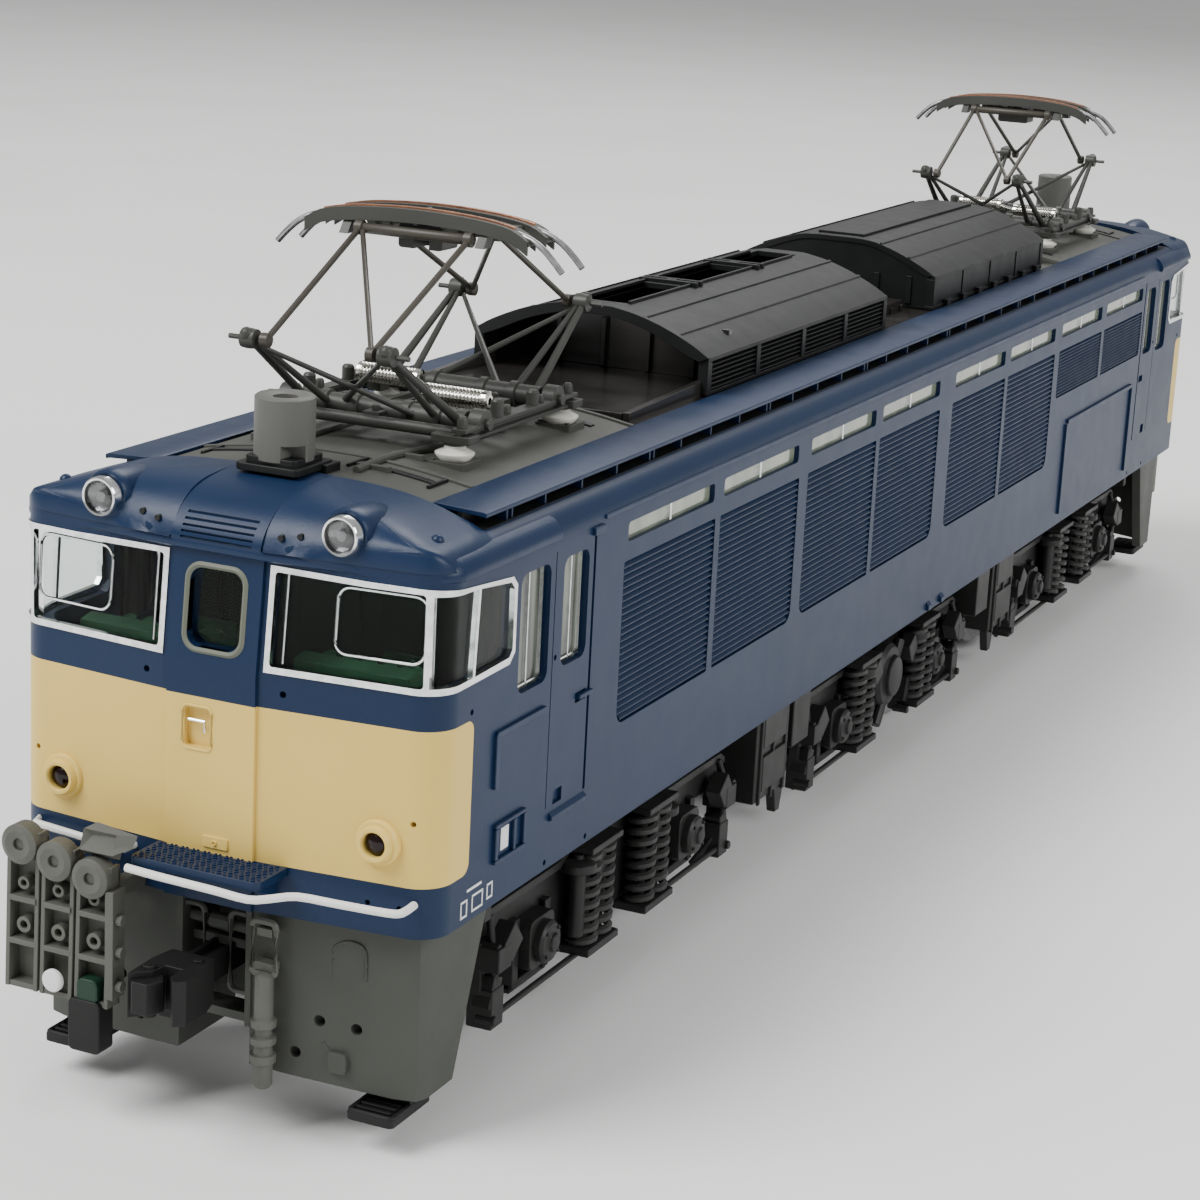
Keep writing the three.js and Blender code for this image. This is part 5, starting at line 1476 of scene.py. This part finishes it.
head = Solid()
copper = Solid()
horns = Solid()
for side in (-1, 1):
    for near, far, low, high in ((0.85, 2.35, -0.3, 0.1), (2.15, 2.42, -0.95, 0.12), (0.8, 1.0, -0.75, 0.12)):
        head.prism(bow_section(low, high), "y", *sided(side, near, far))
    for x in (-6.9, -4.6, -2.3, 0.0, 2.3, 4.6, 6.9):
        y0, y1 = sided(side, 0.9, 2.2)
        head.box((x - 0.16, y0, HEAD_TOP - 1.35), (x + 0.16, y1, HEAD_TOP - 0.6))
    y0, y1 = sided(side, 1.4, 1.85)
    line = catmull([(x, HEAD_TOP + z) for x, z in BOW[1:-1]], 3)
    copper.prism([(x, z + 0.23) for x, z in line] + [(x, z + 0.08) for x, z in reversed(line)], "y", y0, y1)
    for hand in (-1, 1):
        curve = catmull([(hand * 8.4, side * 1.6, HEAD_TOP - 1.2), (hand * 9.6, side * 1.65, HEAD_TOP - 1.55),
                         (hand * 10.6, side * 1.7, HEAD_TOP - 2.1),
                         (hand * 11.5, side * 1.75, HEAD_TOP - 2.9),
                         (hand * 12.3, side * 1.75, HEAD_TOP - 3.75)], 4)
        horns.tube(curve, 0.25, 10)
for hand in (-1, 1):
    head.box((hand * 7.3 - 0.35, -2.0, HEAD_TOP - 1.5), (hand * 7.3 + 0.35, 2.0, HEAD_TOP - 0.85))
    head.box((hand * 6.0 - 0.3, -1.6, HEAD_Z + 0.3), (hand * 6.0 + 0.3, 1.6, HEAD_TOP - 1.0))
    for y in (-HEAD_Y, HEAD_Y):
        head.prism([(y - 0.6, HEAD_Z - 0.5), (y + 0.6, HEAD_Z - 0.5), (y * 0.6 + 0.5, HEAD_Z + 0.9),
                    (y * 0.6 - 0.5, HEAD_Z + 0.9)],
                   "x", hand * 5.85 - 0.4, hand * 5.85 + 0.4)
head_box = Solid().prism(rounded(-1.9, HEAD_Z - 1.3, 1.9, HEAD_Z + 0.55, 0.25, 2), "y", -1.3,
                         1.3).object("box")
cut(head_box, Solid().box((-0.55, -2, HEAD_Z - 1.5), (0.75, 0.9, HEAD_Z - 0.2)))
head.add(taken(head_box))
head.box((-0.8, -1.0, HEAD_Z + 0.5), (0.8, 1.0, HEAD_TOP - 0.5))
head.ball((0, 0, HEAD_TOP - 0.55), 0.45, 12)
at_both_ends("collector_head_END", on_panto(head), PANTO_GREY, body="pantograph_END_head",
             slot="pantograph_grey",
             replaces=["pantograph_END_head"], bevel=0.04)
at_both_ends("contact_strips_END", on_panto(copper), COPPER, body="pantograph_END_head", slot="copper_strip")
at_both_ends("head_horns_END", on_panto(horns), STEEL, body="pantograph_END_head", slot="bright_trim",
             smooth=50)


# ---------------------------------------------------------------- bogies
PITCH = 66.5                            # outer bogie's centre from the middle of the body
AXLE = 7.9                              # height of the axles
HALF_BASE = 14.5                        # axle from its bogie's centre
GAUGE_INNER = 7.2                       # wheel's back from the middle


def right_side_frame(spring_y, powered):
    """Outside face of a bogie on the right, built about the bogie's centre."""
    solid = Solid()
    top = AXLE + 4.7
    beam = [(-24.0, AXLE + 2.6), (-22.0, AXLE + 1.6), (-10.5, AXLE + 1.4), (-8.5, AXLE - 2.6),
            (8.5, AXLE - 2.6),
            (10.5, AXLE + 1.4), (22.0, AXLE + 1.6), (24.0, AXLE + 2.6), (24.0, top - 0.6), (23.0, top),
            (10, top),
            (8, top + 0.9), (-8, top + 0.9), (-10, top), (-23.0, top), (-24.0, top - 0.6)]
    solid.prism(beam, "x", 11.2, 12.9)
    solid.prism([(y, z + 0.25) for y, z in beam[8:]] + [(y, z - 0.45) for y, z in reversed(beam[8:])], "x",
                12.8, 13.6)
    for way in (-1, 1):
        y = way * HALF_BASE
        # horn guides and axle box with a round cover
        for dy in (-2.7, 2.7):
            solid.box((11.4, y + dy - 0.5, AXLE - 3.4), (13.5, y + dy + 0.5, AXLE + 2.4))
        solid.box((11.4, y - 3.2, AXLE - 3.7), (13.3, y + 3.2, AXLE - 2.9))
        solid.prism(rounded(y - 2.1, AXLE - 2.1, y + 2.1, AXLE + 2.1, 0.7, 3), "x", 11.4, 14.4)
        solid.lathe([(1.75, 0), (1.75, 0.7), (1.5, 0.95), (0.8, 1.05), (0.7, 1.35), (0.05, 1.4)],
                    (14.3, y, AXLE), (1, 0, 0), 24)
        for dy, dz in circle(1.35, 4, 0.5):
            solid.rod((14.9, y + dy, AXLE + dz), (15.45, y + dy, AXLE + dz), 0.2, 6)
        # brake hanger, block and pull rod outside each wheel
        for dy in (-8.6, 8.6):
            hanger = y + dy
            solid.prism([(hanger - 0.5, AXLE + 2.6), (hanger + 0.5, AXLE + 2.6),
                         (hanger + 0.35 - dy * 0.03, AXLE - 3.8),
                         (hanger - 0.35 - dy * 0.03, AXLE - 3.8)], "x", 12.6, 13.6)
            solid.block((13.7, hanger - dy * 0.07, AXLE - 1.6), (1.6, 1.5, 2.6),
                        Matrix.Rotation(math.radians(dy * 2.2), 4, "X"))
            solid.rod((13.2, hanger, AXLE - 3.6), (14.9, hanger, AXLE - 3.6), 0.42, 8)
            solid.rod((13.4, hanger, AXLE + 2.2), (15.0, hanger, AXLE + 2.2), 0.5, 8)
        solid.rod((14.2, y - 8.6, AXLE - 3.6), (14.2, y + 8.6, AXLE - 3.6), 0.3, 8)
        # sand pipe and step-like bracket towards the bogie's end
        end = way * 22.3
        solid.tube(catmull([(13.6, end, top - 0.2), (14.3, end + way * 0.5, AXLE + 1.2),
                            (13.9, end - way * 0.6, AXLE - 2.2),
                            (12.2, end - way * 1.6, AXLE - 5.2)], 4), 0.34, 7)
        solid.box((12.4, end - 1.0, AXLE - 4.4), (14.6, end + 1.0, AXLE - 1.2))
        solid.box((12.8, end - 1.3, AXLE + 0.4), (15.2, end + 0.9, AXLE + 2.4))
        # angled links
        solid.block((14.4, way * 21.0, AXLE + 2.2), (1.5, 2.3, 2.3),
                    Matrix.Rotation(math.radians(38), 4, "X"))
        solid.block((14.5, way * 5.4, AXLE + 3.4), (1.3, 2.1, 2.1), Matrix.Rotation(math.radians(30), 4, "X"))
        solid.lathe([(1.5, -0.2), (1.5, 0.5), (1.0, 0.8), (0.5, 0.8), (0.4, 1.2), (0.04, 1.2)],
                    (14.3, -8.2 * way, AXLE + 4.0),
                    (0, 0, 1), 20)
        solid.rod((14.3, -8.2 * way, AXLE - 1.8), (14.3, -8.2 * way, AXLE + 4.0), 0.7, 12)
    # spring planks under and over the coil stacks
    for way in (-1, 1):
        y = way * spring_y
        solid.box((12.6, y - 2.9, AXLE - 3.4), (15.7, y + 2.9, AXLE - 2.7))
        solid.box((12.6, y - 2.9, AXLE + 5.3), (15.7, y + 2.9, AXLE + 5.9))
    if not powered:
        solid.lathe([(3.4, -0.3), (3.4, 0.7), (3.0, 1.1), (2.2, 1.2), (2.1, 1.7), (1.2, 1.9), (0.05, 1.9)],
                    (13.5, 0, AXLE + 1.6), (1, 0, 0), 32)
        solid.rod((14.2, -2.6, AXLE - 3.2), (14.2, 3.4, AXLE + 4.6), 0.55, 10)
    return solid


def right_coils(spring_y):
    """Coil stacks on the right of a bogie: two columns at each spring plank."""
    solid = Solid()
    for way in (-1, 1):
        for dy in (-1.35, 1.35):
            start = (14.35, way * spring_y + dy, AXLE - 2.7)
            coil(solid, start, (start[0], start[1], AXLE + 5.3), 1.02, 0.36, 8, 6, 12)
            solid.rod(start, (start[0], start[1], AXLE + 5.3), 0.5, 8)
    return solid


def bogie_core(powered):
    """Transom, pivot and, on a powered bogie, the gear tower."""
    solid = Solid()
    solid.prism([(-11.3, AXLE - 1), (11.3, AXLE - 1), (11.3, AXLE + 3.6), (9, AXLE + 4.6), (-9, AXLE + 4.6),
                 (-11.3, AXLE + 3.6)],
                "y", -5.1, 5.1)
    for y in (-20.5, 20.5):
        solid.rod((-11.3, y, AXLE + 3.2), (11.3, y, AXLE + 3.2), 1.1, 12)
    if powered:
        solid.prism(rounded(-5.4, -5.4, 5.4, 5.4, 0.8, 3), "z", AXLE + 4.5, BASE + 16.9)
        solid.prism(rounded(-4.4, -4.6, 4.4, 4.6, 1.0, 3), "z", BASE + 16.9, BASE + 17.5)
    else:
        solid.lathe([(2.8, 0), (2.8, 0.8), (1.95, 1.0), (1.95, 5.9)], (0, 0, AXLE + 4.4), (0, 0, 1), 24)
    return solid


for y, spring_y, powered in ((-PITCH, 5.6, True), (0, 9.3, False)):
    frame_solid = right_side_frame(spring_y, powered).mirrored().add(bogie_core(powered)).moved(0, y, 0)
    coils = right_coils(spring_y).mirrored().moved(0, y, 0)
    if powered:
        at_both_ends("bogie_sides_END", frame_solid, BOGIE_BLACK, body="bogie_END", slot="matt_black",
                     replaces=["bogie_frame_END"], bevel=0.1, segments=1)
        at_both_ends("bogie_coils_END", coils, COIL_BLACK, body="bogie_END", slot="matt_black", smooth=50)
    else:
        piece("bogie_sides_middle", frame_solid, BOGIE_BLACK, body="bogie_middle", slot="matt_black",
              replaces=["bogie_frame_middle"], bevel=0.1, segments=1)
        piece("bogie_coils_middle", coils, COIL_BLACK, body="bogie_middle", slot="matt_black", smooth=50)


def wheels(geared):
    """Tyres and axle of a wheelset at the origin."""
    solid = Solid().lathe([(0.6, -12.6), (1.0, -12.3), (1.0, 12.3), (0.6, 12.6)], (0, 0, 0), (1, 0, 0), 20)
    for hand in (-1, 1):
        solid.ring([(5.4, 0.1), (7.55, 0), (7.88, 0.2), (7.88, 0.45), (7.5, 0.75), (7.2, 0.95), (7.1, 1.2),
                    (7.0, 2.8),
                    (6.85, 2.95), (5.9, 2.95), (5.4, 2.6)], (hand * GAUGE_INNER, 0, 0), (hand, 0, 0), 64)
    if geared:
        solid.lathe([(1.2, -1.5), (3.5, -1.5), (3.6, -1.3), (3.6, 1.3), (3.5, 1.5), (1.2, 1.5)], (0, 0, 0),
                    (1, 0, 0), 30)
    return solid


def wheel_centres():
    """Dished centres of both wheels with a circle of bosses."""
    solid = Solid()
    for hand in (-1, 1):
        solid.lathe([(5.5, 0.35), (5.5, 2.5), (5.1, 2.55), (4.7, 2.1), (2.6, 1.9), (2.0, 2.2), (1.9, 3.0),
                     (1.2, 3.1), (1.1, 0.35)],
                    (hand * GAUGE_INNER, 0, 0), (hand, 0, 0), 48)
        x = hand * (GAUGE_INNER + 2.05)
        for y, z in circle(3.6, 9):
            solid.rod((x - 0.3, y, z), (x + 0.3, y, z), 0.75, 10)
    return solid


def wheel_pieces(suffix, node, y, geared):
    """Name, solid, material and options of a wheelset's two pieces."""
    turn = Matrix.Translation((0, y, AXLE))
    return (
        ("wheel_tyres_" + suffix, Solid().add(wheels(geared), turn), STEEL,
         dict(replaces=[node], smooth=25, slot="steel")),
        ("wheel_centres_" + suffix, Solid().add(wheel_centres(), turn), BOGIE_BLACK,
         dict(smooth=25, slot="matt_black")),
    )


for place, way in (("outer", -1), ("inner", 1)):
    node = "wheelset_END_" + place
    for name, solid, material, options in wheel_pieces(place + "_END", node, -PITCH + way * HALF_BASE, True):
        at_both_ends(name, solid, material, body=node, **options)
for place, way in (("front", -1), ("rear", 1)):
    node = "wheelset_middle_" + place
    for name, solid, material, options in wheel_pieces("middle_" + place, node, way * HALF_BASE, False):
        piece(name, solid, material, body=node, **options)


# ---------------------------------------------------------------- equipment under the floor
boxes = Solid()
for hand in (-1, 1):
    def underbox(y0, y1, z0, z1, x0=9.0, x1=15.4):
        a, b = sided(hand, x0, x1)
        boxes.box((a, y0 - FRONT, BASE + z0), (b, y1 - FRONT, BASE + z1))
    underbox(67.0, 75.0, -9.5, 1.0)
    underbox(68.2, 73.8, -8.6, -5.2, 15.2, 15.7)
    underbox(68.2, 73.8, -4.4, -1.2, 15.2, 15.7)
    underbox(76.2, 80.5, -6.5, 1.0)
    for y in (68.0, 71.0, 74.0):
        underbox(y - 0.2, y + 0.2, -9.8, 0.6, 15.3, 15.65)
    underbox(14.4, 15.6, -3.5, 1.2, 12.0, 14.8)
    a, b = sided(hand, 14.4, 15.3)
    boxes.prism([(72.5 - FRONT, BASE - 9.4), (75.0 - FRONT, BASE - 9.4), (74.2 - FRONT, BASE - 12.0),
                 (73.2 - FRONT, BASE - 12.0)], "x", a, b)
piece("underfloor_boxes", both_ends(boxes), BOGIE_BLACK, slot="matt_black", bevel=0.12, segments=1)


# ---------------------------------------------------------------- skirt, rack, coupler
def left_skirt():
    """Left half of the grey apron, swept back like the body above it, with a recessed middle."""
    return Solid().prism([(-14.1, -FRONT + 2.4), (-15.6, -FRONT + 3.0), (-16.0, -FRONT + 3.9),
                          (-16.0, -FRONT + 12.6),
                          (-14.9, -FRONT + 12.6), (-14.9, -FRONT + 4.3), (-13.6, -FRONT + 3.6),
                          (-4.2, -FRONT + 2.4),
                          (-4.2, -FRONT + 12.6), (-3.0, -FRONT + 12.6), (-3.0, -FRONT + 0.9),
                          (-6.0, -FRONT + 1.2)],
                         "z", 3.2, BASE - 0.3)


def skirt():
    """Both halves of the apron and what is fixed in its recessed middle and on its right panel."""
    solid = left_skirt().mirrored().object("skirt")
    rear = Solid().prism([(-FRONT + 6.6, 0), (-FRONT + 12.4, BASE - 1), (-FRONT + 13.6, BASE + 2),
                          (-FRONT + 20, BASE + 2), (-FRONT + 20, 0)],
                         "x", -20, 20)
    low = Solid()
    for hand in (-1, 1):
        a, b = sided(hand, 2.0, 18)
        low.prism([(a, 0), (b, 0), (b, 3.3 if hand > 0 else 4.3), (a, 4.3 if hand > 0 else 3.3)], "y",
                  -FRONT - 3, -FRONT + 18)
    holes = Solid()
    for x, z in ((8.4, 8.6), (11.2, 8.4), (6.6, 5.9)):
        for hand in (-1, 1):
            holes.rod((hand * x, -FRONT - 1, z), (hand * x, -FRONT + 6, z), 0.42, 16)
    cut(solid, rear, low, holes)
    result = taken(solid)
    # back wall, bracket loops and pipe of the recessed middle
    result.box((-3.2, -FRONT + 5.6, 7.6), (3.2, -FRONT + 6.3, BASE - 0.4))
    for hand in (-1, 1):
        loop = rounded(hand * 2.0 - 0.9, 9.6, hand * 2.0 + 0.9, 15.6, 0.5, 3)
        result.tube([(x, -FRONT + 1.2, z) for x, z in loop], 0.26, 6, closed=True)
        result.box((hand * 2.9 - 0.25, -FRONT + 0.7, 7.2), (hand * 2.9 + 0.25, -FRONT + 5.8, BASE - 0.4))
    result.rod((-2.6, -FRONT + 1.9, 14.4), (2.7, -FRONT + 1.9, 14.2), 0.42, 12)
    result.rod((-0.9, -FRONT + 1.9, 14.35), (0.8, -FRONT + 1.9, 14.3), 0.62, 12)
    result.box((-2.7, -FRONT + 2.2, 12.4), (2.7, -FRONT + 3.0, 13.1))
    result.box((-2.7, -FRONT + 1.4, 7.2), (2.7, -FRONT + 3.6, 7.9))
    # cable relief and plug box on the right panel
    cable = catmull([(9.4, front_y(9.4, 0) + 1.25, 11.6), (9.3, front_y(9.3, 0) + 1.2, 14.0),
                     (9.7, front_y(9.7, 0) + 1.2, 14.7),
                     (10.7, front_y(10.7, 0) + 1.2, 15.0), (11.7, front_y(11.7, 0) + 1.2, 14.5),
                     (11.8, front_y(11.8, 0) + 1.25, 12.2)], 4)
    result.tube(cable, 0.14, 6)
    result.prism(rounded(9.2, 4.9, 10.7, 6.5, 0.3, 2), "y", front_y(10, 0) + 0.8, front_y(10, 0) + 2.2)
    result.rod((9.3, front_y(9.3, 0) + 1.15, 6.3), (8.7, front_y(8.7, 0) + 1.1, 7.0), 0.14, 6)
    return result


at_both_ends("skirt_panels_END", skirt(), SKIRT_GREY, slot="skirt_grey", replaces=["skirt_END"], bevel=0.07,
             smooth=25)

hose = Solid()
hose.lathe([(0.5, -0.3), (0.72, 0), (0.72, 1.6), (0.95, 1.7), (0.95, 2.3), (0.72, 2.4), (0.62, 3.0),
            (0.95, 3.15), (0.95, 3.65),
            (0.62, 3.8), (0.62, 4.3), (0.95, 4.45), (0.95, 4.95), (0.7, 5.1), (0.68, 8.3), (0.4, 8.5)],
           (4.9, -FRONT - 0.3, 3.7), (0, 0, 1), 20)
hose.tube([(x, -FRONT, z) for x, z in rounded(3.7, 11.9, 5.6, 15.9, 0.4, 3)], 0.28, 6, closed=True)
hose.box((3.9, -FRONT - 0.1, 12.2), (5.5, -FRONT + 0.8, 12.8))
hose.box((4.2, -FRONT - 0.3, 14.9), (5.4, -FRONT + 0.8, 15.5))
at_both_ends("hose_unit_END", hose, RACK_GREY, slot="skirt_grey", bevel=0.04, smooth=45)

steps = Solid()
for hand in (-1, 1):
    a, b = sided(hand, 11.1, 14.9)
    outline = rounded(a, -FRONT + 0.9, b, -FRONT + 6.8, 0.4, 3)
    steps.prism(outline, "z", 1.95, 2.55)
    for k in range(7):
        y = -FRONT + 1.5 + 0.75 * k
        steps.box((a + 0.5, y, 2.5), (b - 0.5, y + 0.34, 2.85))
    rim = rounded(a + 0.2, -FRONT + 1.1, b - 0.2, -FRONT + 6.6, 0.3, 3)
    steps.tube([(x, y, 2.62) for x, y in rim], 0.22, 6, closed=True)
    c, d = sided(hand, 14.1, 14.85)
    steps.box((c, -FRONT + 3.7, 2.5), (d, -FRONT + 4.9, 5.2))
at_both_ends("corner_steps_END", steps, MATT_BLACK, slot="matt_black", bevel=0.05)


RACK_Y = -FRONT - 4.7


def rack():
    """Jumper rack: three ribbed columns with round sockets on top."""
    y = RACK_Y
    solid = Solid()
    columns = ((-14.3, -11.5, 20.6), (-11.3, -8.5, 19.9), (-8.3, -5.4, 19.2))
    for x0, x1, top in columns:
        cx = (x0 + x1) / 2
        for x in (x0, x1 - 0.35):
            solid.prism([(y, 8.6), (y + 1.5, 8.6), (y + 1.5, top), (y + 0.4, top)], "x", x, x + 0.35)
        solid.box((x0, y + 1.3, 8.6), (x1, y + 1.6, top - 0.4))
        for z in (8.6, 11.9, 15.2):
            solid.box((x0 + 0.2, y + 0.1, z), (x1 - 0.2, y + 1.4, z + 0.42))
        for z, r in ((13.4, 0.62), (16.6, 0.5)):
            solid.ring([(r * 0.5, 0.9), (r * 0.5, 0), (r, 0), (r, 0.9)], (cx, y + 0.35, z), (0, 1, 0), 16)
        solid.ring([(0.45, 1.2), (0.45, -0.15), (1.05, -0.3), (1.5, -0.1), (1.5, 1.2)],
                   (cx, y - 0.1, top - 0.9), (0, 1, 0), 28)
        solid.lathe([(0.5, 0.2), (0.42, 0.1), (0.05, 0.1)], (cx, y - 0.1, top - 0.9), (0, 1, 0), 16)
    # trumpet on the right-hand column
    solid.rings([
        [(-8.2, y + 1.2, 19.6), (-5.2, y + 1.2, 19.6), (-5.2, y + 1.5, 20.4), (-8.2, y + 1.5, 20.4)],
        [(-8.0, y + 0.2, 20.2), (-5.2, y + 0.2, 20.2), (-5.1, y + 0.6, 21.7), (-7.9, y + 0.6, 21.7)],
        [(-7.3, y + 0.9, 21.2), (-3.6, y + 0.4, 21.0), (-3.4, y + 0.8, 21.9), (-7.2, y + 1.3, 22.1)],
    ])
    solid.box((-5.6, y - 0.1, 9.4), (-4.9, y + 1.4, 17.6))
    for z in (10.4, 13.0, 15.4):
        solid.rod((-4.9, y + 0.5, z), (-4.4, y + 0.5, z), 0.42, 10)
    for x in (-13.6, -6.4):
        solid.box((x, y + 1.4, 16.6), (x + 0.9, -FRONT + 0.6, 17.8))
    return solid


at_both_ends("jumper_columns_END", rack(), RACK_GREY, slot="skirt_grey", replaces=["jumper_rack_END"],
             bevel=0.05, smooth=35)
disc = Solid().lathe([(0.85, 0), (0.85, -0.25), (0.72, -0.4), (0.05, -0.42)], (-10.0, RACK_Y, 9.9), (0, 1, 0),
                     32)
at_both_ends("marker_disc_END", disc, MARK_WHITE, slot="white_plastic")
spot = Solid().prism(rounded(-8.0, 8.7, -6.2, 10.6, 0.5, 3), "y", -FRONT - 4.85, -FRONT - 3.6)
at_both_ends("marker_spot_END", spot, GREEN_DOT, slot="cab_green", bevel=0.15)
block = Solid().prism(rounded(-8.6, 5.0, -5.9, 9.0, 0.4, 3), "y", -FRONT - 5.0, -FRONT - 3.2)
at_both_ends("hanging_block_END", block, MATT_BLACK, slot="matt_black", bevel=0.12)


def coupler():
    """Knuckle coupler: shank, head with a hooked jaw and its moving knuckle."""
    y, z = -FRONT, 11.5
    solid = Solid().lathe([(1.5, -0.9), (1.6, -0.7), (1.6, 0.7), (1.5, 0.9)], (0, y + 9.5, z), (0, 0, 1), 24)
    solid.prism([(y + 9.5, z - 0.8), (y + 9.5, z + 0.8), (y - 2.6, z + 0.8), (y - 2.6, z - 0.8)], "x", -0.95,
                0.95)
    solid.prism([(-1.7, y - 2.0), (1.8, y - 2.0), (2.4, y - 4.0), (2.4, y - 6.6), (1.7, y - 7.2),
                 (1.0, y - 6.4), (1.0, y - 4.9),
                 (-0.4, y - 4.9), (-0.6, y - 6.2), (-1.9, y - 7.4), (-2.0, y - 4.0)], "z", z - 1.7, z + 1.7)
    solid.prism([(-2.0, y - 5.6), (-0.4, y - 5.2), (0.4, y - 6.3), (-0.2, y - 7.55), (-1.4, y - 7.6),
                 (-2.1, y - 6.8)], "z", z - 1.2, z + 1.2)
    solid.rod((-1.1, y - 5.8, z - 1.95), (-1.1, y - 5.8, z + 1.95), 0.5, 14)
    solid.rod((1.2, y - 3.2, z - 2.4), (1.2, y - 3.2, z + 1.9), 0.4, 12)
    solid.prism([(-1.4, y - 4.2), (1.4, y - 4.2), (1.0, y - 2.2), (-1.0, y - 2.2)], "z", z - 2.6, z - 1.6)
    for x in (-0.75, 0.75):
        solid.box((x - 0.2, y - 2.2, z + 0.6), (x + 0.2, y + 2.5, z + 1.3))
    return solid


at_both_ends("coupler_head_END", coupler(), MATT_BLACK, body="coupler_END", slot="matt_black",
             replaces=["coupler_END"],
             bevel=0.08, smooth=30)

# small white marks low on the cab side, plain bars with no lettering
marks = Solid()
for y, z, w, h in ((5.1, 0.5, 1.0, 1.3), (6.8, 0.55, 1.7, 1.3), (9.1, 0.75, 0.9, 1.2)):
    for y0, z0, y1, z1 in ((0, 0, w, 0.16), (0, h - 0.16, w, h), (0, 0.2, 0.14, h - 0.2),
                           (w - 0.14, 0.2, w, h - 0.2)):
        marks.box((SIDE - 0.05, y + y0 - FRONT, BASE + z + z0), (SIDE + 0.035, y + y1 - FRONT, BASE + z + z1))
marks.box((SIDE - 0.05, 11.0 - FRONT, BASE + 3.9), (SIDE + 0.05, 12.2 - FRONT, BASE + 5.6))
marks.box((SIDE - 0.05, 6.0 - FRONT, BASE + 2.3), (SIDE + 0.035, 8.2 - FRONT, BASE + 2.5))
piece("side_marks", both_ends(marks), MARK_WHITE, slot="white_plastic")


# ---------------------------------------------------------------- CAD nodes that stay as they are
KEPT = {"chassis_frame": DIECAST, "circuit_board": BOARD, "motor": STEEL, "motor_shaft": BRASS,
        "bolster_middle": STEEL}
for end in ("near", "far"):
    KEPT["cardan_shaft_" + end] = MATT_BLACK
    KEPT["worm_shaft_" + end] = BRASS
for node, material in KEPT.items():
    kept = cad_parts[node]
    for material_slot in kept.material_slots:
        material_slot.material = material


# ---------------------------------------------------------------- stage, light and camera, in metres
WORLD_LIGHT = 0.42
CAMERA_LENS = 84.243
CAMERA_PLACE = (0.101569, -0.266607, 0.090161)
CAMERA_TARGET = (-0.029578, 0.024068, 0.005259)
CAMERA_ROLL = math.radians(2.983)
MIDDLE = (0, 0, 0.03)

bpy.ops.mesh.primitive_plane_add(size=6, location=(0, 0, min(0.0, cad_bounds[0][2]) - 0.0005))
floor = bpy.context.object
floor.name = "floor"
floor_surface = Surface("floor_paper", (0.86, 0.86, 0.85), 0.8)
floor_surface.set_color(floor_surface.ramp(floor_surface.noise(60, 2), 0.3, 0.7, (0.84, 0.84, 0.83),
                                           (0.88, 0.88, 0.87)))
floor.data.materials.append(floor_surface.material)

world = bpy.data.worlds.new("studio")
bpy.context.scene.world = world
world.use_nodes = True
world.node_tree.nodes["Background"].inputs["Color"].default_value = (1, 1, 1, 1)
world.node_tree.nodes["Background"].inputs["Strength"].default_value = WORLD_LIGHT


def softbox(name, place, size, power):
    """A rectangular lamp that faces the middle of the object."""
    lamp = bpy.data.lights.new(name, "AREA")
    lamp.shape = "RECTANGLE"
    lamp.size, lamp.size_y = size
    lamp.energy = power
    obj = bpy.data.objects.new(name, lamp)
    obj.location = place
    obj.rotation_euler = (Vector(MIDDLE) - Vector(place)).to_track_quat("-Z", "Y").to_euler()
    bpy.context.scene.collection.objects.link(obj)


softbox("key", (-0.35, -0.5, 0.7), (0.5, 0.5), 10)
softbox("fill", (0.8, -0.1, 0.5), (0.5, 0.4), 5)
softbox("back", (-0.1, 0.7, 0.8), (0.6, 0.4), 5)

camera_data = bpy.data.cameras.new("camera")
camera_data.lens = CAMERA_LENS
camera_data.sensor_width = 36
camera_data.clip_start = 0.01
camera = bpy.data.objects.new("camera", camera_data)
bpy.context.scene.collection.objects.link(camera)
bpy.context.scene.camera = camera
camera.location = CAMERA_PLACE
aim = Vector(CAMERA_TARGET) - camera.location
camera.rotation_mode = "QUATERNION"
camera.rotation_quaternion = aim.to_track_quat("-Z",
                                               "Y") @ Matrix.Rotation(CAMERA_ROLL, 3, "Z").to_quaternion()
